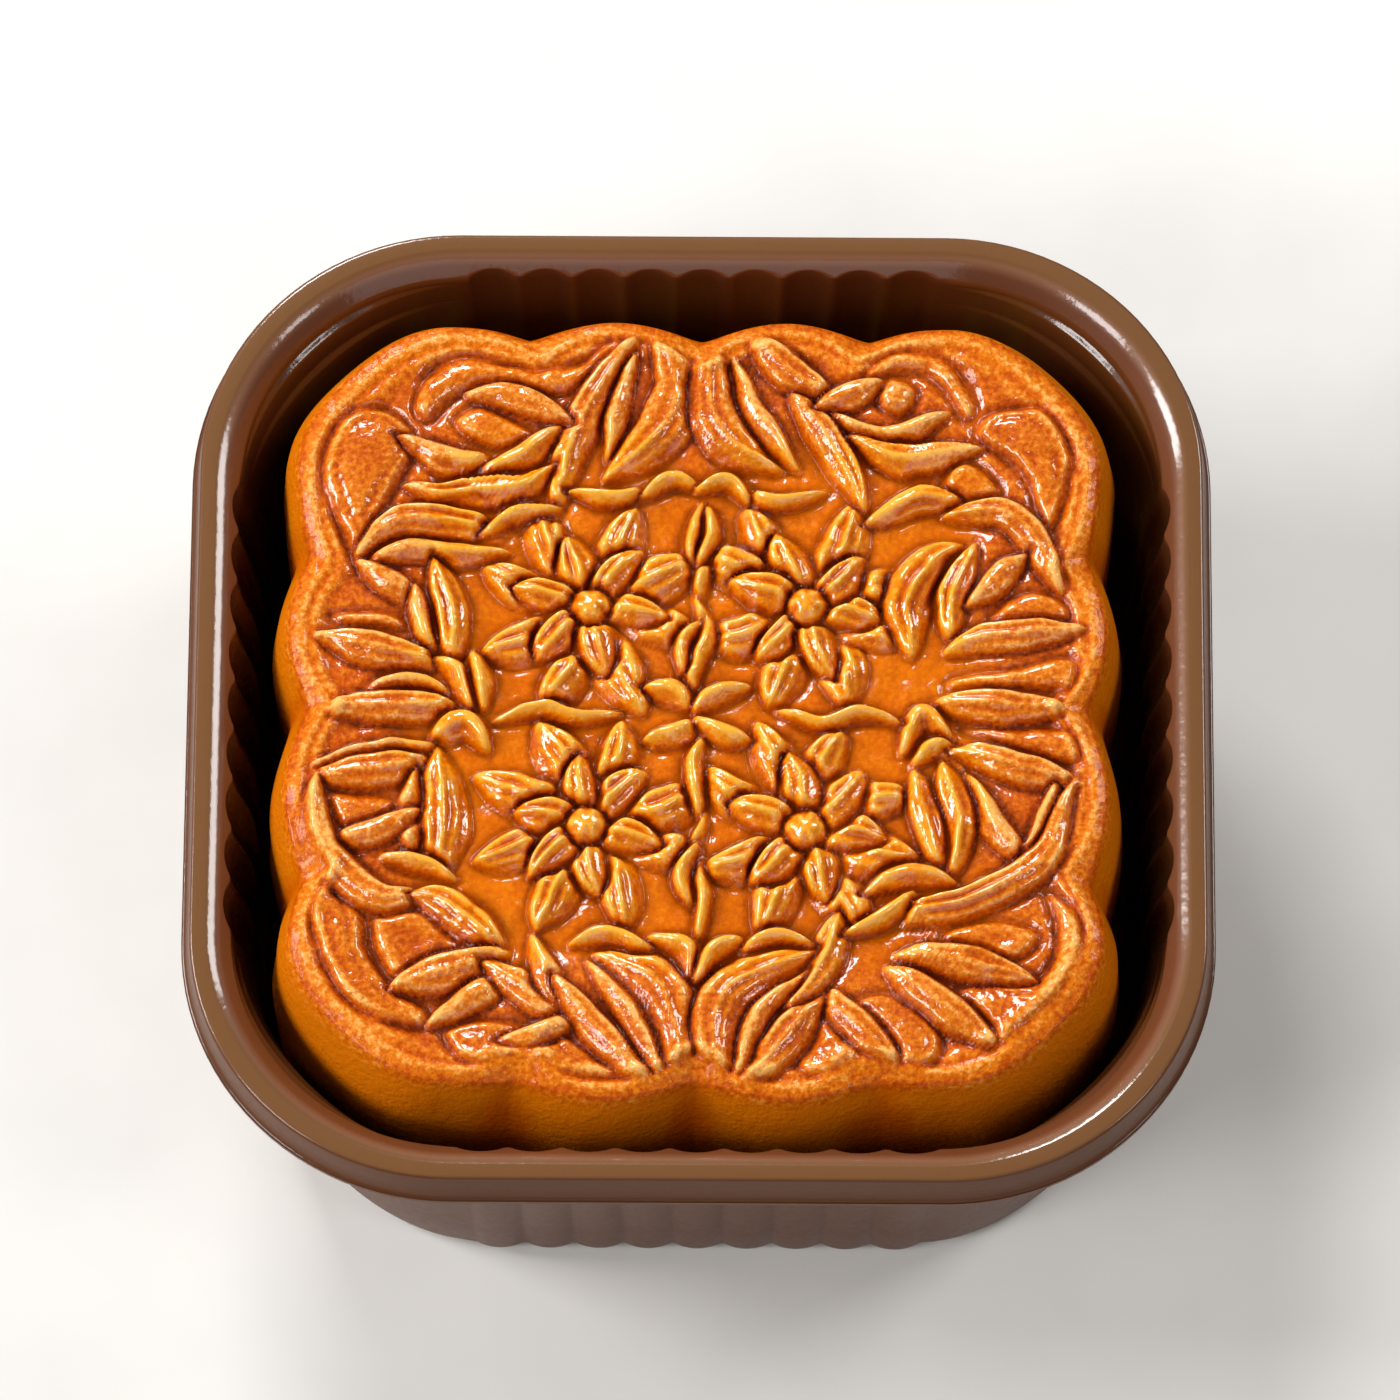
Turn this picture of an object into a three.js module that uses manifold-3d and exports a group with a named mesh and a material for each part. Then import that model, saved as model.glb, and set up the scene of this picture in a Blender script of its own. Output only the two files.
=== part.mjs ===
// A square mooncake with a pressed ornament of leaves, petals and blossoms, standing in the thin
// moulded tray that it is sold in. Millimetres, +Z up, the origin at the middle of the tray's
// underside, +Y towards the back. Two closed solids: the cake and the tray.
import * as THREE from 'three';
import Module from 'manifold-3d';

const wasm = await Module();
wasm.setup();

// Tray: a fluted cup, a small ledge, a flat flange and a skirt that ends in a thin lip.
const TRAY_HEIGHT = 34;
const TRAY_WALL = 0.8;
const FLANGE_HALF = 42.5;
const FLANGE_CORNER = 22;
const FLANGE_INNER_HALF = 40.2;
const FLANGE_INNER_CORNER = 20.5;
const FLANGE_EDGE_ROUND = 0.4;
const LEDGE_DROP = 0.6;
const CUP_HALF = 38.25;
const CUP_CORNER = 19.6;
const CUP_FLOOR_HALF = 36.9;
const CUP_FLOOR_ROUND = 1.4;
const FLUTES_PER_SIDE = 9;
const FLUTE_PITCH = 4.15;
const FLUTE_DEPTH = 0.85;
const FLUTE_STEPS = 4;
const SKIRT_DROP = 3.6;
const SKIRT_FLARE = 0.5;
const LIP_WIDTH = 0.4;
const CORNER_STEPS = 8;

// Cake: twelve lobes round the side, a belly, a raised rim and a nearly flat field inside it.
const CAKE_GAP = 0.3; // left between the cake and the tray's floor
const CAKE_SHIFT_X = -0.2;
const CAKE_SHIFT_Y = -0.3;
const VALLEY_HALF = 32.9; // outline half-size where a side lobe meets a corner lobe
const MIDDLE_VALLEY = 0.45; // the valley in the middle of a side lies this much further out
const LOBE_HEIGHT = 1.65;
const LOBE_SPAN = 15.3;
const CORNER_LOBE_RISE = 0.3;
const CORNER_LOBE_CENTRE = 21;
const CORNER_LOBE_RADIUS = VALLEY_HALF + CORNER_LOBE_RISE - CORNER_LOBE_CENTRE;
const LOBE_STEPS = 6;
const CORNER_LOBE_STEPS = 8;
const OUTLINE_SIZE = 34; // the outline's mean half-size, which turns a growth into a scale
const RIM_TOP = 35;
const FIELD_HALF = 30.9; // half-size of the field inside the rim
const FIELD_EDGE = 33.7; // the field's height at the rim and in the middle
const FIELD_MIDDLE = 34.7;
const FIELD_RINGS = [0.7, 0.4]; // sizes of the rings that give the field its low dome

// Side profile: height above the table, and how far the outline grows or shrinks there.
const SIDE_PROFILE = [
  { z: TRAY_WALL + CAKE_GAP, grow: -0.9 },
  { z: 3, grow: 0.9 },
  { z: 9, grow: 1.6 },
  { z: 18, grow: 1.8 },
  { z: 26, grow: 1.6 },
  { z: 31.5, grow: 0.9 },
  { z: 34.3, grow: 0 },
  { z: RIM_TOP, grow: -1 },
  { z: FIELD_EDGE, grow: -2.1 },
];

// Ornament of the left half, mirrored to the right. A leaf is [x0, y0, x1, y1, bow, width]: the
// two ends of its middle line, how far that line bows to the left of its way, and its width.
const LEAF_HEIGHT = 1.5;
const LEAF_ROOT = 1; // how far each ornament reaches down into the cake
const LEAF_CREST = 0.5; // width of a leaf's flat crest, as a part of its own width
const LEAF_FOOT = 1.25; // width of its foot below the field
const LEAF_TAPER = 0.82; // width near its ends
const UNEVEN = 0.25; // the largest shift of a leaf from its drawn place
const BACK_FAN = [
  [-4.4, 31.6, -7.2, 20.9, 2.8, 3.2],
  [-5.4, 30, -6.9, 23, 0.6, 1.8],
  [-6.4, 31.8, -10.8, 24.6, -0.3, 2.2],
  [-9.6, 25.6, -11.4, 18.2, 0.3, 1.9],
  [-11.9, 24, -12.3, 17.2, 0, 1.7],
];
const BACK_CORNER_SPRIG = [
  [-11.4, 25.2, -18.3, 27.7, -0.7, 2.4],
  [-12.2, 23.8, -18, 21.2, 0.5, 1.8],
  [-17.4, 21.4, -24.4, 23.6, 0.8, 1.7],
  [-14.4, 19.9, -24.6, 18.5, -0.9, 2.2],
  [-28.5, 12.5, -21.6, 15, 1.1, 2.6],
  [-22, 14.9, -16, 16.1, -0.3, 2.2],
];
const SIDE_FAN = [
  [-28.2, 11.2, -23.8, 8.8, 0, 1.5],
  [-22.2, 11.4, -21.2, 3.8, 0.7, 2.7],
  [-30.8, 6.6, -24.8, 7.4, 0.2, 1.7],
  [-31.6, 5.2, -22, 4, 0.1, 2.4],
  [-21.2, 3.4, -18.6, -0.4, 0, 1.7],
  [-30.2, -0.6, -20.6, -0.4, 0.6, 2.6],
  [-20.4, -1.6, -20.9, -5, 0, 1.8],
  [-30.6, -6.2, -21.9, -5.2, 0.5, 2.4],
  [-21.6, -5.6, -21.7, -14.4, 0.6, 3],
  [-29, -12.9, -23.6, -9.6, 0, 2],
  [-31.2, -8.2, -22.4, -17.7, -3.4, 2.4],
  [-22.6, -17.2, -16.9, -21.2, 0.4, 2.6],
];
const FRONT_FAN = [
  [-8.3, -23.6, -1.8, -33, 1.8, 3.2],
  [-7.6, -26, -3.4, -32.6, 0.4, 1.5],
  [-11, -24.6, -4.4, -33.4, -0.2, 2.4],
  [-13.4, -22.4, -11, -28.2, -0.4, 1.8],
];
const FRONT_CORNER_SPRIG = [
  [-17.2, -23.6, -24.4, -25.2, 0, 2.3],
  [-15.8, -25.4, -11.2, -28.2, 0.5, 1.9],
  [-16.6, -26, -21.4, -28.2, 0, 1.9],
  [-11.4, -28.6, -16, -30.2, 0, 1.9],
];
const LEAVES = [BACK_FAN, BACK_CORNER_SPRIG, SIDE_FAN, FRONT_FAN, FRONT_CORNER_SPRIG].flat();

// Large corner petals, [x0, y0, x1, y1, bow]: a raised band round a dished face.
const PETAL_HEIGHT = 1.4;
const PETAL_DISH = 0.5;
const CORNER_PETALS = [
  [-29.4, 13.2, -24.2, 25.4, 5.6],
  [-24.2, 25.6, -10.8, 28.4, 3.4],
  [-29.8, -16.9, -21.4, -28.8, -6],
  [-21.4, -29.4, -6.4, -33.2, -2.2],
];

// Four blossoms in the middle of the field, each of five petals round a boss, with sepals.
const BLOSSOM_X = 9;
const BLOSSOM_BACK_Y = 9;
const BLOSSOM_FRONT_Y = -11.5;
const BLOSSOM_PETALS = 5;
const BLOSSOM_REACH = 5; // from the blossom's middle to the middle of a petal
const BLOSSOM_PETAL_LONG = 3.4;
const BLOSSOM_PETAL_WIDE = 2.9;
const BLOSSOM_BOSS = 1.7;
const SEPAL_START = 6.6;
const SEPAL_LENGTH = 3.9;
const SEPAL_WIDTH = 2;

// One ring of points round the Z axis, anticlockwise from the +X side, from a list of (x, y).
function ringAt(outline, z, scale = 1) {
  return outline.map(([x, y]) => new THREE.Vector3(x * scale, y * scale, z));
}

// Repeats a quarter outline, drawn from the +X side to the +Y side, four times round.
function fourQuarters(quarter) {
  const outline = [];
  for (let turn = 0; turn < 4; turn += 1) {
    const cos = Math.round(Math.cos((turn * Math.PI) / 2));
    const sin = Math.round(Math.sin((turn * Math.PI) / 2));
    for (const [x, y] of quarter) {
      outline.push([x * cos - y * sin, x * sin + y * cos]);
    }
  }
  return outline;
}

// A square with round corners.
function roundedSquare(half, corner) {
  const centre = half - corner;
  const quarter = [[half, 0]];
  for (let step = 0; step <= CORNER_STEPS; step += 1) {
    const angle = (step / CORNER_STEPS) * (Math.PI / 2);
    quarter.push([centre + corner * Math.cos(angle), centre + corner * Math.sin(angle)]);
  }
  return fourQuarters(quarter);
}

// The same with round flutes that bulge outwards along each straight side.
function flutedSquare(half, corner) {
  const centre = half - corner;
  const flutedHalf = (FLUTES_PER_SIDE * FLUTE_PITCH) / 2;
  const radius = ((FLUTE_PITCH / 2) ** 2 + FLUTE_DEPTH ** 2) / (2 * FLUTE_DEPTH);
  const bulge = (u) => {
    const along = (((u + flutedHalf) % FLUTE_PITCH) / FLUTE_PITCH - 0.5) * FLUTE_PITCH;
    return Math.sqrt(radius ** 2 - along ** 2) - (radius - FLUTE_DEPTH);
  };
  const stepsToCorner = (FLUTES_PER_SIDE * FLUTE_STEPS) / 2;
  const sidePoint = (step) => {
    const u = (step * FLUTE_PITCH) / FLUTE_STEPS;
    return [half + (Math.abs(step) < stepsToCorner ? Math.max(bulge(u), 0) : 0), u];
  };
  const quarter = [];
  for (let step = 0; step <= stepsToCorner; step += 1) {
    quarter.push(sidePoint(step));
  }
  for (let step = 1; step < CORNER_STEPS; step += 1) {
    const angle = (step / CORNER_STEPS) * (Math.PI / 2);
    quarter.push([centre + corner * Math.cos(angle), centre + corner * Math.sin(angle)]);
  }
  for (let step = stepsToCorner; step > 0; step -= 1) {
    quarter.push(sidePoint(step).reverse());
  }
  return fourQuarters(quarter);
}

// The cake's scalloped outline: two lobes to a side and a larger lobe at each corner.
function lobedOutline() {
  const halfAt = (u) => {
    const part = u / LOBE_SPAN;
    return VALLEY_HALF + MIDDLE_VALLEY * (1 - part) + LOBE_HEIGHT * Math.sin(Math.PI * part) ** 2;
  };
  const side = [];
  for (let step = 0; step <= LOBE_STEPS; step += 1) {
    const u = (step / LOBE_STEPS) * LOBE_SPAN;
    side.push([halfAt(u), u]);
  }
  const corner = [];
  for (let step = 0; step <= CORNER_LOBE_STEPS; step += 1) {
    const angle = (step / CORNER_LOBE_STEPS) * (Math.PI / 2);
    corner.push([
      CORNER_LOBE_CENTRE + CORNER_LOBE_RADIUS * Math.cos(angle),
      CORNER_LOBE_CENTRE + CORNER_LOBE_RADIUS * Math.sin(angle),
    ]);
  }
  const nextSide = side.slice(1).reverse().map(([x, y]) => [y, x]);
  return fourQuarters([...side, ...corner, ...nextSide]);
}

// Joins two rings with triangles, going round by the points' angles, so the counts may differ.
function stitchRings(index, lower, lowerStart, upper, upperStart) {
  const angleOf = (ring, i) => {
    const point = ring[i % ring.length];
    const angle = Math.atan2(point.y, point.x);
    const turned = angle < -1e-9 ? angle + 2 * Math.PI : angle;
    return i < ring.length ? turned : turned + 2 * Math.PI;
  };
  let a = 0;
  let b = 0;
  while (a < lower.length || b < upper.length) {
    const stepLower = b >= upper.length
      || (a < lower.length && angleOf(lower, a + 1) <= angleOf(upper, b + 1));
    const here = lowerStart + (a % lower.length);
    const above = upperStart + (b % upper.length);
    if (stepLower) {
      a += 1;
      index.push(here, lowerStart + (a % lower.length), above);
    } else {
      b += 1;
      index.push(here, upperStart + (b % upper.length), above);
    }
  }
}

// Closes a flat ring with triangles that face up or down.
function capRing(index, ring, start, facesUp) {
  const contour = ring.map((point) => new THREE.Vector2(point.x, point.y));
  for (const [a, b, c] of THREE.ShapeUtils.triangulateShape(contour, [])) {
    index.push(start + a, start + (facesUp ? b : c), start + (facesUp ? c : b));
  }
}

function geometryFrom(points, index) {
  const geometry = new THREE.BufferGeometry();
  geometry.setAttribute('position', new THREE.Float32BufferAttribute(
    points.flatMap((point) => [point.x, point.y, point.z]), 3));
  geometry.setIndex(index);
  return geometry;
}

// A closed solid from rings round the Z axis: from the underside, out, up and in to the top.
function turnedSolid(rings) {
  const index = [];
  let start = 0;
  capRing(index, rings[0], start, false);
  for (let i = 0; i + 1 < rings.length; i += 1) {
    const next = start + rings[i].length;
    stitchRings(index, rings[i], start, rings[i + 1], next);
    start = next;
  }
  capRing(index, rings.at(-1), start, true);
  return geometryFrom(rings.flat(), index);
}

// A closed solid from sections of equal count, each anticlockwise seen from where the way leads.
function sweptSolid(sections, first, last) {
  const count = sections[0].length;
  const points = [first, ...sections.flat(), last];
  const at = (section, i) => 1 + section * count + (i % count);
  const index = [];
  for (let i = 0; i < count; i += 1) {
    index.push(0, at(0, i + 1), at(0, i));
    index.push(points.length - 1, at(sections.length - 1, i), at(sections.length - 1, i + 1));
    for (let s = 0; s + 1 < sections.length; s += 1) {
      index.push(at(s, i), at(s, i + 1), at(s + 1, i));
      index.push(at(s, i + 1), at(s + 1, i + 1), at(s + 1, i));
    }
  }
  return geometryFrom(points, index);
}

function toManifold(geometry) {
  const solid = new wasm.Manifold(new wasm.Mesh({
    numProp: 3,
    vertProperties: new Float32Array(geometry.getAttribute('position').array),
    triVerts: new Uint32Array(geometry.getIndex().array),
  }));
  if (solid.volume() <= 0) {
    throw new Error('a solid is empty or inside out');
  }
  return solid;
}

function toGeometry(solid) {
  const mesh = solid.getMesh();
  const geometry = new THREE.BufferGeometry();
  geometry.setAttribute('position', new THREE.BufferAttribute(mesh.vertProperties, 3));
  geometry.setIndex(new THREE.BufferAttribute(mesh.triVerts, 1));
  return geometry;
}

// Small even random numbers from -1 to 1, the same on every run.
function makeRandom(seed) {
  let state = seed;
  return () => {
    state = (state * 1664525 + 1013904223) % 4294967296;
    return (state / 4294967296) * 2 - 1;
  };
}

// The field's height under a point of the ornament.
function fieldHeight(x, y) {
  const out = Math.min(Math.max(Math.abs(x), Math.abs(y)) / FIELD_HALF, 1);
  return FIELD_MIDDLE + (FIELD_EDGE - FIELD_MIDDLE) * out ** 2;
}

// A point of a bowed middle line, part of the way along it, and the direction to its left.
function bowedPoint([x0, y0, x1, y1, bow], part) {
  const length = Math.hypot(x1 - x0, y1 - y0);
  const left = [-(y1 - y0) / length, (x1 - x0) / length];
  const side = 4 * bow * part * (1 - part);
  return { x: x0 + (x1 - x0) * part + left[0] * side, y: y0 + (y1 - y0) * part + left[1] * side, left };
}

// A leaf: a low ridge along a bowed line, pointed at both ends.
function leafSolid(leaf) {
  const width = leaf[5];
  const sections = [0.2, 0.5, 0.8].map((part) => {
    const { x, y, left } = bowedPoint(leaf, part);
    const half = (width / 2) * (part === 0.5 ? 1 : LEAF_TAPER);
    const ground = fieldHeight(x, y);
    const across = (side, z) => new THREE.Vector3(x + left[0] * side, y + left[1] * side, z);
    return [
      across(half * LEAF_FOOT, ground - LEAF_ROOT),
      across(half * LEAF_CREST, ground + LEAF_HEIGHT),
      across(-half * LEAF_CREST, ground + LEAF_HEIGHT),
      across(-half * LEAF_FOOT, ground - LEAF_ROOT),
    ];
  });
  const tip = (part) => {
    const { x, y } = bowedPoint(leaf, part);
    return new THREE.Vector3(x, y, fieldHeight(x, y) - LEAF_ROOT / 2);
  };
  return sweptSolid(sections, tip(0), tip(1));
}

// A closed shape from a flat outline: an outer foot, a raised band and a dished face within it.
function dishedSolid(outline, middle, height, dish) {
  const shrink = (scale, lift) => outline.map(([x, y]) => {
    const px = middle[0] + (x - middle[0]) * scale;
    const py = middle[1] + (y - middle[1]) * scale;
    return new THREE.Vector3(px, py, fieldHeight(px, py) + lift);
  });
  const rings = [shrink(1, -LEAF_ROOT), shrink(0.86, height), shrink(0.6, dish)];
  const foot = new THREE.Vector3(...middle, fieldHeight(...middle) - LEAF_ROOT);
  const face = new THREE.Vector3(...middle, fieldHeight(...middle) + dish);
  return sweptSolid(rings, foot, face);
}

// A corner petal: the space between a bowed line and a shallow return line, as one dished shape.
function petalSolid(petal) {
  const steps = 6;
  const [x0, y0, x1, y1, bow] = petal;
  const outline = [];
  for (let step = 0; step <= steps; step += 1) {
    const { x, y } = bowedPoint(petal, step / steps);
    outline.push([x, y]);
  }
  for (const part of [0.67, 0.33]) {
    const { x, y } = bowedPoint([x0, y0, x1, y1, -bow * 0.15], part);
    outline.push([x, y]);
  }
  const middle = bowedPoint([x0, y0, x1, y1, bow * 0.45], 0.5);
  const outlineArea = THREE.ShapeUtils.area(outline.map(([x, y]) => new THREE.Vector2(x, y)));
  return dishedSolid(outlineArea > 0 ? outline : outline.reverse(), [middle.x, middle.y],
    PETAL_HEIGHT, PETAL_DISH);
}

// One oval petal of a blossom, pointing away from the blossom's middle.
function blossomPetal(centreX, centreY, angle) {
  const steps = 8;
  const middle = [centreX + BLOSSOM_REACH * Math.cos(angle), centreY + BLOSSOM_REACH * Math.sin(angle)];
  const outline = [];
  for (let step = 0; step < steps; step += 1) {
    const turn = (step / steps) * 2 * Math.PI;
    const along = BLOSSOM_PETAL_LONG * Math.cos(turn);
    const across = BLOSSOM_PETAL_WIDE * Math.sin(turn);
    outline.push([
      middle[0] + along * Math.cos(angle) - across * Math.sin(angle),
      middle[1] + along * Math.sin(angle) + across * Math.cos(angle),
    ]);
  }
  return dishedSolid(outline, middle, LEAF_HEIGHT, PETAL_DISH);
}

// The round boss in the middle of a blossom.
function blossomBoss(centreX, centreY) {
  const steps = 6;
  const outline = [];
  for (let step = 0; step < steps; step += 1) {
    const turn = (step / steps) * 2 * Math.PI;
    outline.push([centreX + BLOSSOM_BOSS * Math.cos(turn), centreY + BLOSSOM_BOSS * Math.sin(turn)]);
  }
  return dishedSolid(outline, [centreX, centreY], LEAF_HEIGHT, LEAF_HEIGHT);
}

// A sepal: the small leaf that points outwards between two petals.
function blossomSepal(centreX, centreY, angle) {
  const end = SEPAL_START + SEPAL_LENGTH;
  return leafSolid([
    centreX + SEPAL_START * Math.cos(angle), centreY + SEPAL_START * Math.sin(angle),
    centreX + end * Math.cos(angle), centreY + end * Math.sin(angle), 0, SEPAL_WIDTH,
  ]);
}

function blossomSolids(centreX, centreY, turn) {
  const solids = [blossomBoss(centreX, centreY)];
  const step = (2 * Math.PI) / BLOSSOM_PETALS;
  for (let petal = 0; petal < BLOSSOM_PETALS; petal += 1) {
    solids.push(blossomPetal(centreX, centreY, turn + petal * step));
    solids.push(blossomSepal(centreX, centreY, turn + (petal + 0.5) * step));
  }
  return solids;
}

// Mirrors a bowed line from the left half to the right.
function mirrored([x0, y0, x1, y1, bow, ...rest]) {
  return [-x0, y0, -x1, y1, -bow, ...rest];
}

function ornamentSolids() {
  const random = makeRandom(7);
  const uneven = ([x0, y0, x1, y1, ...rest]) => [
    x0 + UNEVEN * random(), y0 + UNEVEN * random(),
    x1 + UNEVEN * random(), y1 + UNEVEN * random(), ...rest,
  ];
  const solids = [];
  for (const leaf of LEAVES) {
    solids.push(leafSolid(uneven(leaf)), leafSolid(uneven(mirrored(leaf))));
  }
  for (const petal of CORNER_PETALS) {
    solids.push(petalSolid(petal), petalSolid(mirrored(petal)));
  }
  for (const y of [BLOSSOM_BACK_Y, BLOSSOM_FRONT_Y]) {
    const turn = y > 0 ? Math.PI / 2 : -Math.PI / 2;
    solids.push(...blossomSolids(-BLOSSOM_X, y, turn), ...blossomSolids(BLOSSOM_X, y, turn));
  }
  return solids;
}

function mooncakeGeometry() {
  const outline = lobedOutline();
  const sideRings = SIDE_PROFILE.map(({ z, grow }) => ringAt(outline, z, 1 + grow / OUTLINE_SIZE));
  const fieldRings = FIELD_RINGS.map(
    (part) => ringAt(outline, fieldHeight(part * FIELD_HALF, 0), (part * FIELD_HALF) / VALLEY_HALF));
  const body = toManifold(turnedSolid([...sideRings, ...fieldRings]));
  const whole = ornamentSolids().reduce((joined, solid) => joined.add(toManifold(solid)), body);
  return toGeometry(whole);
}

function trayGeometry() {
  const flange = (half, z) => ringAt(roundedSquare(half, FLANGE_CORNER + half - FLANGE_HALF), z);
  const cup = (half, z) => ringAt(flutedSquare(half, CUP_CORNER + half - CUP_HALF), z);
  const underFlange = TRAY_HEIGHT - TRAY_WALL;
  const skirtFoot = TRAY_HEIGHT - SKIRT_DROP;
  const ledge = TRAY_HEIGHT - LEDGE_DROP;
  return turnedSolid([
    cup(CUP_FLOOR_HALF + TRAY_WALL - CUP_FLOOR_ROUND, 0),
    cup(CUP_FLOOR_HALF + TRAY_WALL, CUP_FLOOR_ROUND),
    cup(CUP_HALF + TRAY_WALL, underFlange - LEDGE_DROP),
    flange(FLANGE_INNER_HALF + TRAY_WALL, underFlange),
    flange(FLANGE_HALF - TRAY_WALL, underFlange),
    flange(FLANGE_HALF + SKIRT_FLARE - TRAY_WALL, skirtFoot),
    flange(FLANGE_HALF + SKIRT_FLARE + LIP_WIDTH, skirtFoot),
    flange(FLANGE_HALF + SKIRT_FLARE + LIP_WIDTH, skirtFoot + LIP_WIDTH),
    flange(FLANGE_HALF + SKIRT_FLARE - LIP_WIDTH / 2, skirtFoot + 2 * LIP_WIDTH),
    flange(FLANGE_HALF, TRAY_HEIGHT - FLANGE_EDGE_ROUND),
    flange(FLANGE_HALF - FLANGE_EDGE_ROUND, TRAY_HEIGHT),
    ringAt(roundedSquare(FLANGE_INNER_HALF, FLANGE_INNER_CORNER), TRAY_HEIGHT),
    ringAt(roundedSquare(FLANGE_INNER_HALF - LEDGE_DROP / 2, FLANGE_INNER_CORNER), ledge),
    cup(CUP_HALF, ledge),
    cup(CUP_FLOOR_HALF, TRAY_WALL + CUP_FLOOR_ROUND),
    cup(CUP_FLOOR_HALF - CUP_FLOOR_ROUND, TRAY_WALL),
  ]);
}

const mooncake = new THREE.Mesh(
  mooncakeGeometry(),
  new THREE.MeshStandardMaterial({ color: '#c9761f', roughness: 0.45, metalness: 0 }));
mooncake.name = 'mooncake';
mooncake.position.set(CAKE_SHIFT_X, CAKE_SHIFT_Y, 0);

const tray = new THREE.Mesh(
  trayGeometry(),
  new THREE.MeshStandardMaterial({ color: '#5a2d16', roughness: 0.25, metalness: 0 }));
tray.name = 'tray';

const object = new THREE.Group();
object.add(mooncake, tray);

export default object;
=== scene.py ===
# %% [markdown]
# # A pressed mooncake in its moulded tray
#
# The cake is a baked pastry: a thin crust round a dense filling, pressed in a carved wooden
# mould and glazed with egg before its second baking. The tray is one sheet of brown plastic,
# drawn into a form by vacuum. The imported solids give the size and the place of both. Here each
# gets its real surface.

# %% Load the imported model
import math

import bpy
import mathutils
import numpy as np
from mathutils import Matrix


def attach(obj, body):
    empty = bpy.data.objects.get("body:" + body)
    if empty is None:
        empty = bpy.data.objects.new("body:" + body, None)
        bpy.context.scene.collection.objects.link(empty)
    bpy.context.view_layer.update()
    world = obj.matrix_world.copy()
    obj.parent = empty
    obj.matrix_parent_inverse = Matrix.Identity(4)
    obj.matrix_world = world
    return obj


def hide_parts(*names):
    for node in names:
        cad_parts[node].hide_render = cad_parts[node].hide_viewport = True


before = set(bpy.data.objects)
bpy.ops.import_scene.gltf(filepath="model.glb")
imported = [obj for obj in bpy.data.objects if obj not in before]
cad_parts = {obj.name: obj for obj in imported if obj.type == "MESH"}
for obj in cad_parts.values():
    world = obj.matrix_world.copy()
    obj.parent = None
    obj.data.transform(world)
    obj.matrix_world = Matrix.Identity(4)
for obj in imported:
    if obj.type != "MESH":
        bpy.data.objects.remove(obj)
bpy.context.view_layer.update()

MM = 0.001
BODY = "root"
print("nodes:", sorted(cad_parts))

# %% [markdown]
# Both pieces share a few sizes with the solids: the tray's flange and cup, and the cake's foot
# and rim. They are kept in millimetres, because that is how a mould maker writes them, and turned
# to metres when a mesh is made.

# %% Driving sizes, in millimetres
TRAY_HEIGHT = 34.0
SHEET = 0.45  # thickness of the drawn plastic sheet
FLANGE_HALF, FLANGE_CORNER = 42.6, 22.0
CUP_HALF, CUP_CORNER = 38.25, 18.5
FLOOR_HALF, FLOOR_ROUND = 36.9, 1.4
FLUTES, FLUTE_PITCH, FLUTE_DEPTH = 9, 4.15, 0.65
SKIRT_DROP, SKIRT_FLARE, LIP = 3.6, 0.45, 0.35

CAKE_SHIFT = (-0.2, -0.3)
CAKE_FOOT = SHEET + 0.05
CAKE_HALF = 34.0  # nominal half width, used to turn a share of the radius into millimetres
RIM_TOP = 35.0


# %% [markdown]
# All points of a piece are read and written at once, which is much faster than a loop over its
# vertices. Both pieces grow in the same way, so that is a helper too: a ring of edges is extruded
# downwards once for each ring that is wanted, and a face closes the last one. The height of a
# point then says which ring it is in, until it gets its real place. Operators act on what is
# active and selected, and a newly added piece is both.

# %% Helpers for meshes
def points_of(piece):
    flat = np.zeros(len(piece.data.vertices) * 3)
    piece.data.vertices.foreach_get("co", flat)
    return flat.reshape(-1, 3)


def set_points(piece, points):
    piece.data.vertices.foreach_set("co", np.asarray(points, float).ravel())
    piece.data.update()


def store(piece, name, values):
    """Stores a value on each point, for the material to read."""
    layer = piece.data.attributes.new(name, "FLOAT", "POINT")
    layer.data.foreach_set("value", values)
    print("%s: %.2f to %.2f" % (name, values.min(), values.max()))


def extrude_rings(count):
    """Extrudes the selected ring of edges that many times and closes the last one."""
    for _ in range(count):
        bpy.ops.mesh.extrude_region_move(TRANSFORM_OT_translate={"value": (0, 0, -1)})
    bpy.ops.mesh.edge_face_add()
    bpy.ops.object.mode_set(mode="OBJECT")


def ring_numbers(points):
    return np.round(-points[:, 2]).astype(int)


def match_normals():
    """Turns all faces of the active piece to the same side of its surface."""
    bpy.ops.object.mode_set(mode="EDIT")
    bpy.ops.mesh.select_all(action="SELECT")
    bpy.ops.mesh.normals_make_consistent(inside=False)
    bpy.ops.object.mode_set(mode="OBJECT")


def count_triangles(piece):
    return sum(len(face.vertices) - 2 for face in piece.data.polygons)


# %% [markdown]
# ## Outlines
#
# Seen from above, the cake is a square with two lobes to a side and a larger one at each corner.
# A mould is cut by hand, so the notches between the lobes are not quite even: their places along
# each side are written down, and the lobes swell between them. The outline ends up as a distance
# from the middle for each direction, so any ring round the cake can be placed by its angles.

# %% Lobes of a side and of a corner
LOBE_HEIGHT, LOBE_POWER = 1.5, 1.3
CORNER_CENTRE, CORNER_RADIUS, CORNER_SQUARE = 21.0, 12.0, 0.9
CORNER_EASE, EASE_POWER = 0.18, 1.6  # share of the lobe that is eased at either end, and how


def side_lobes(half, notches, samples=50):
    part = np.linspace(0, 1, samples, endpoint=False)
    swell = half + LOBE_HEIGHT * np.sin(np.pi * part) ** LOBE_POWER
    return np.concatenate([np.stack([swell, start + (end - start) * part], 1)
                           for start, end in zip(notches, notches[1:])])


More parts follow.
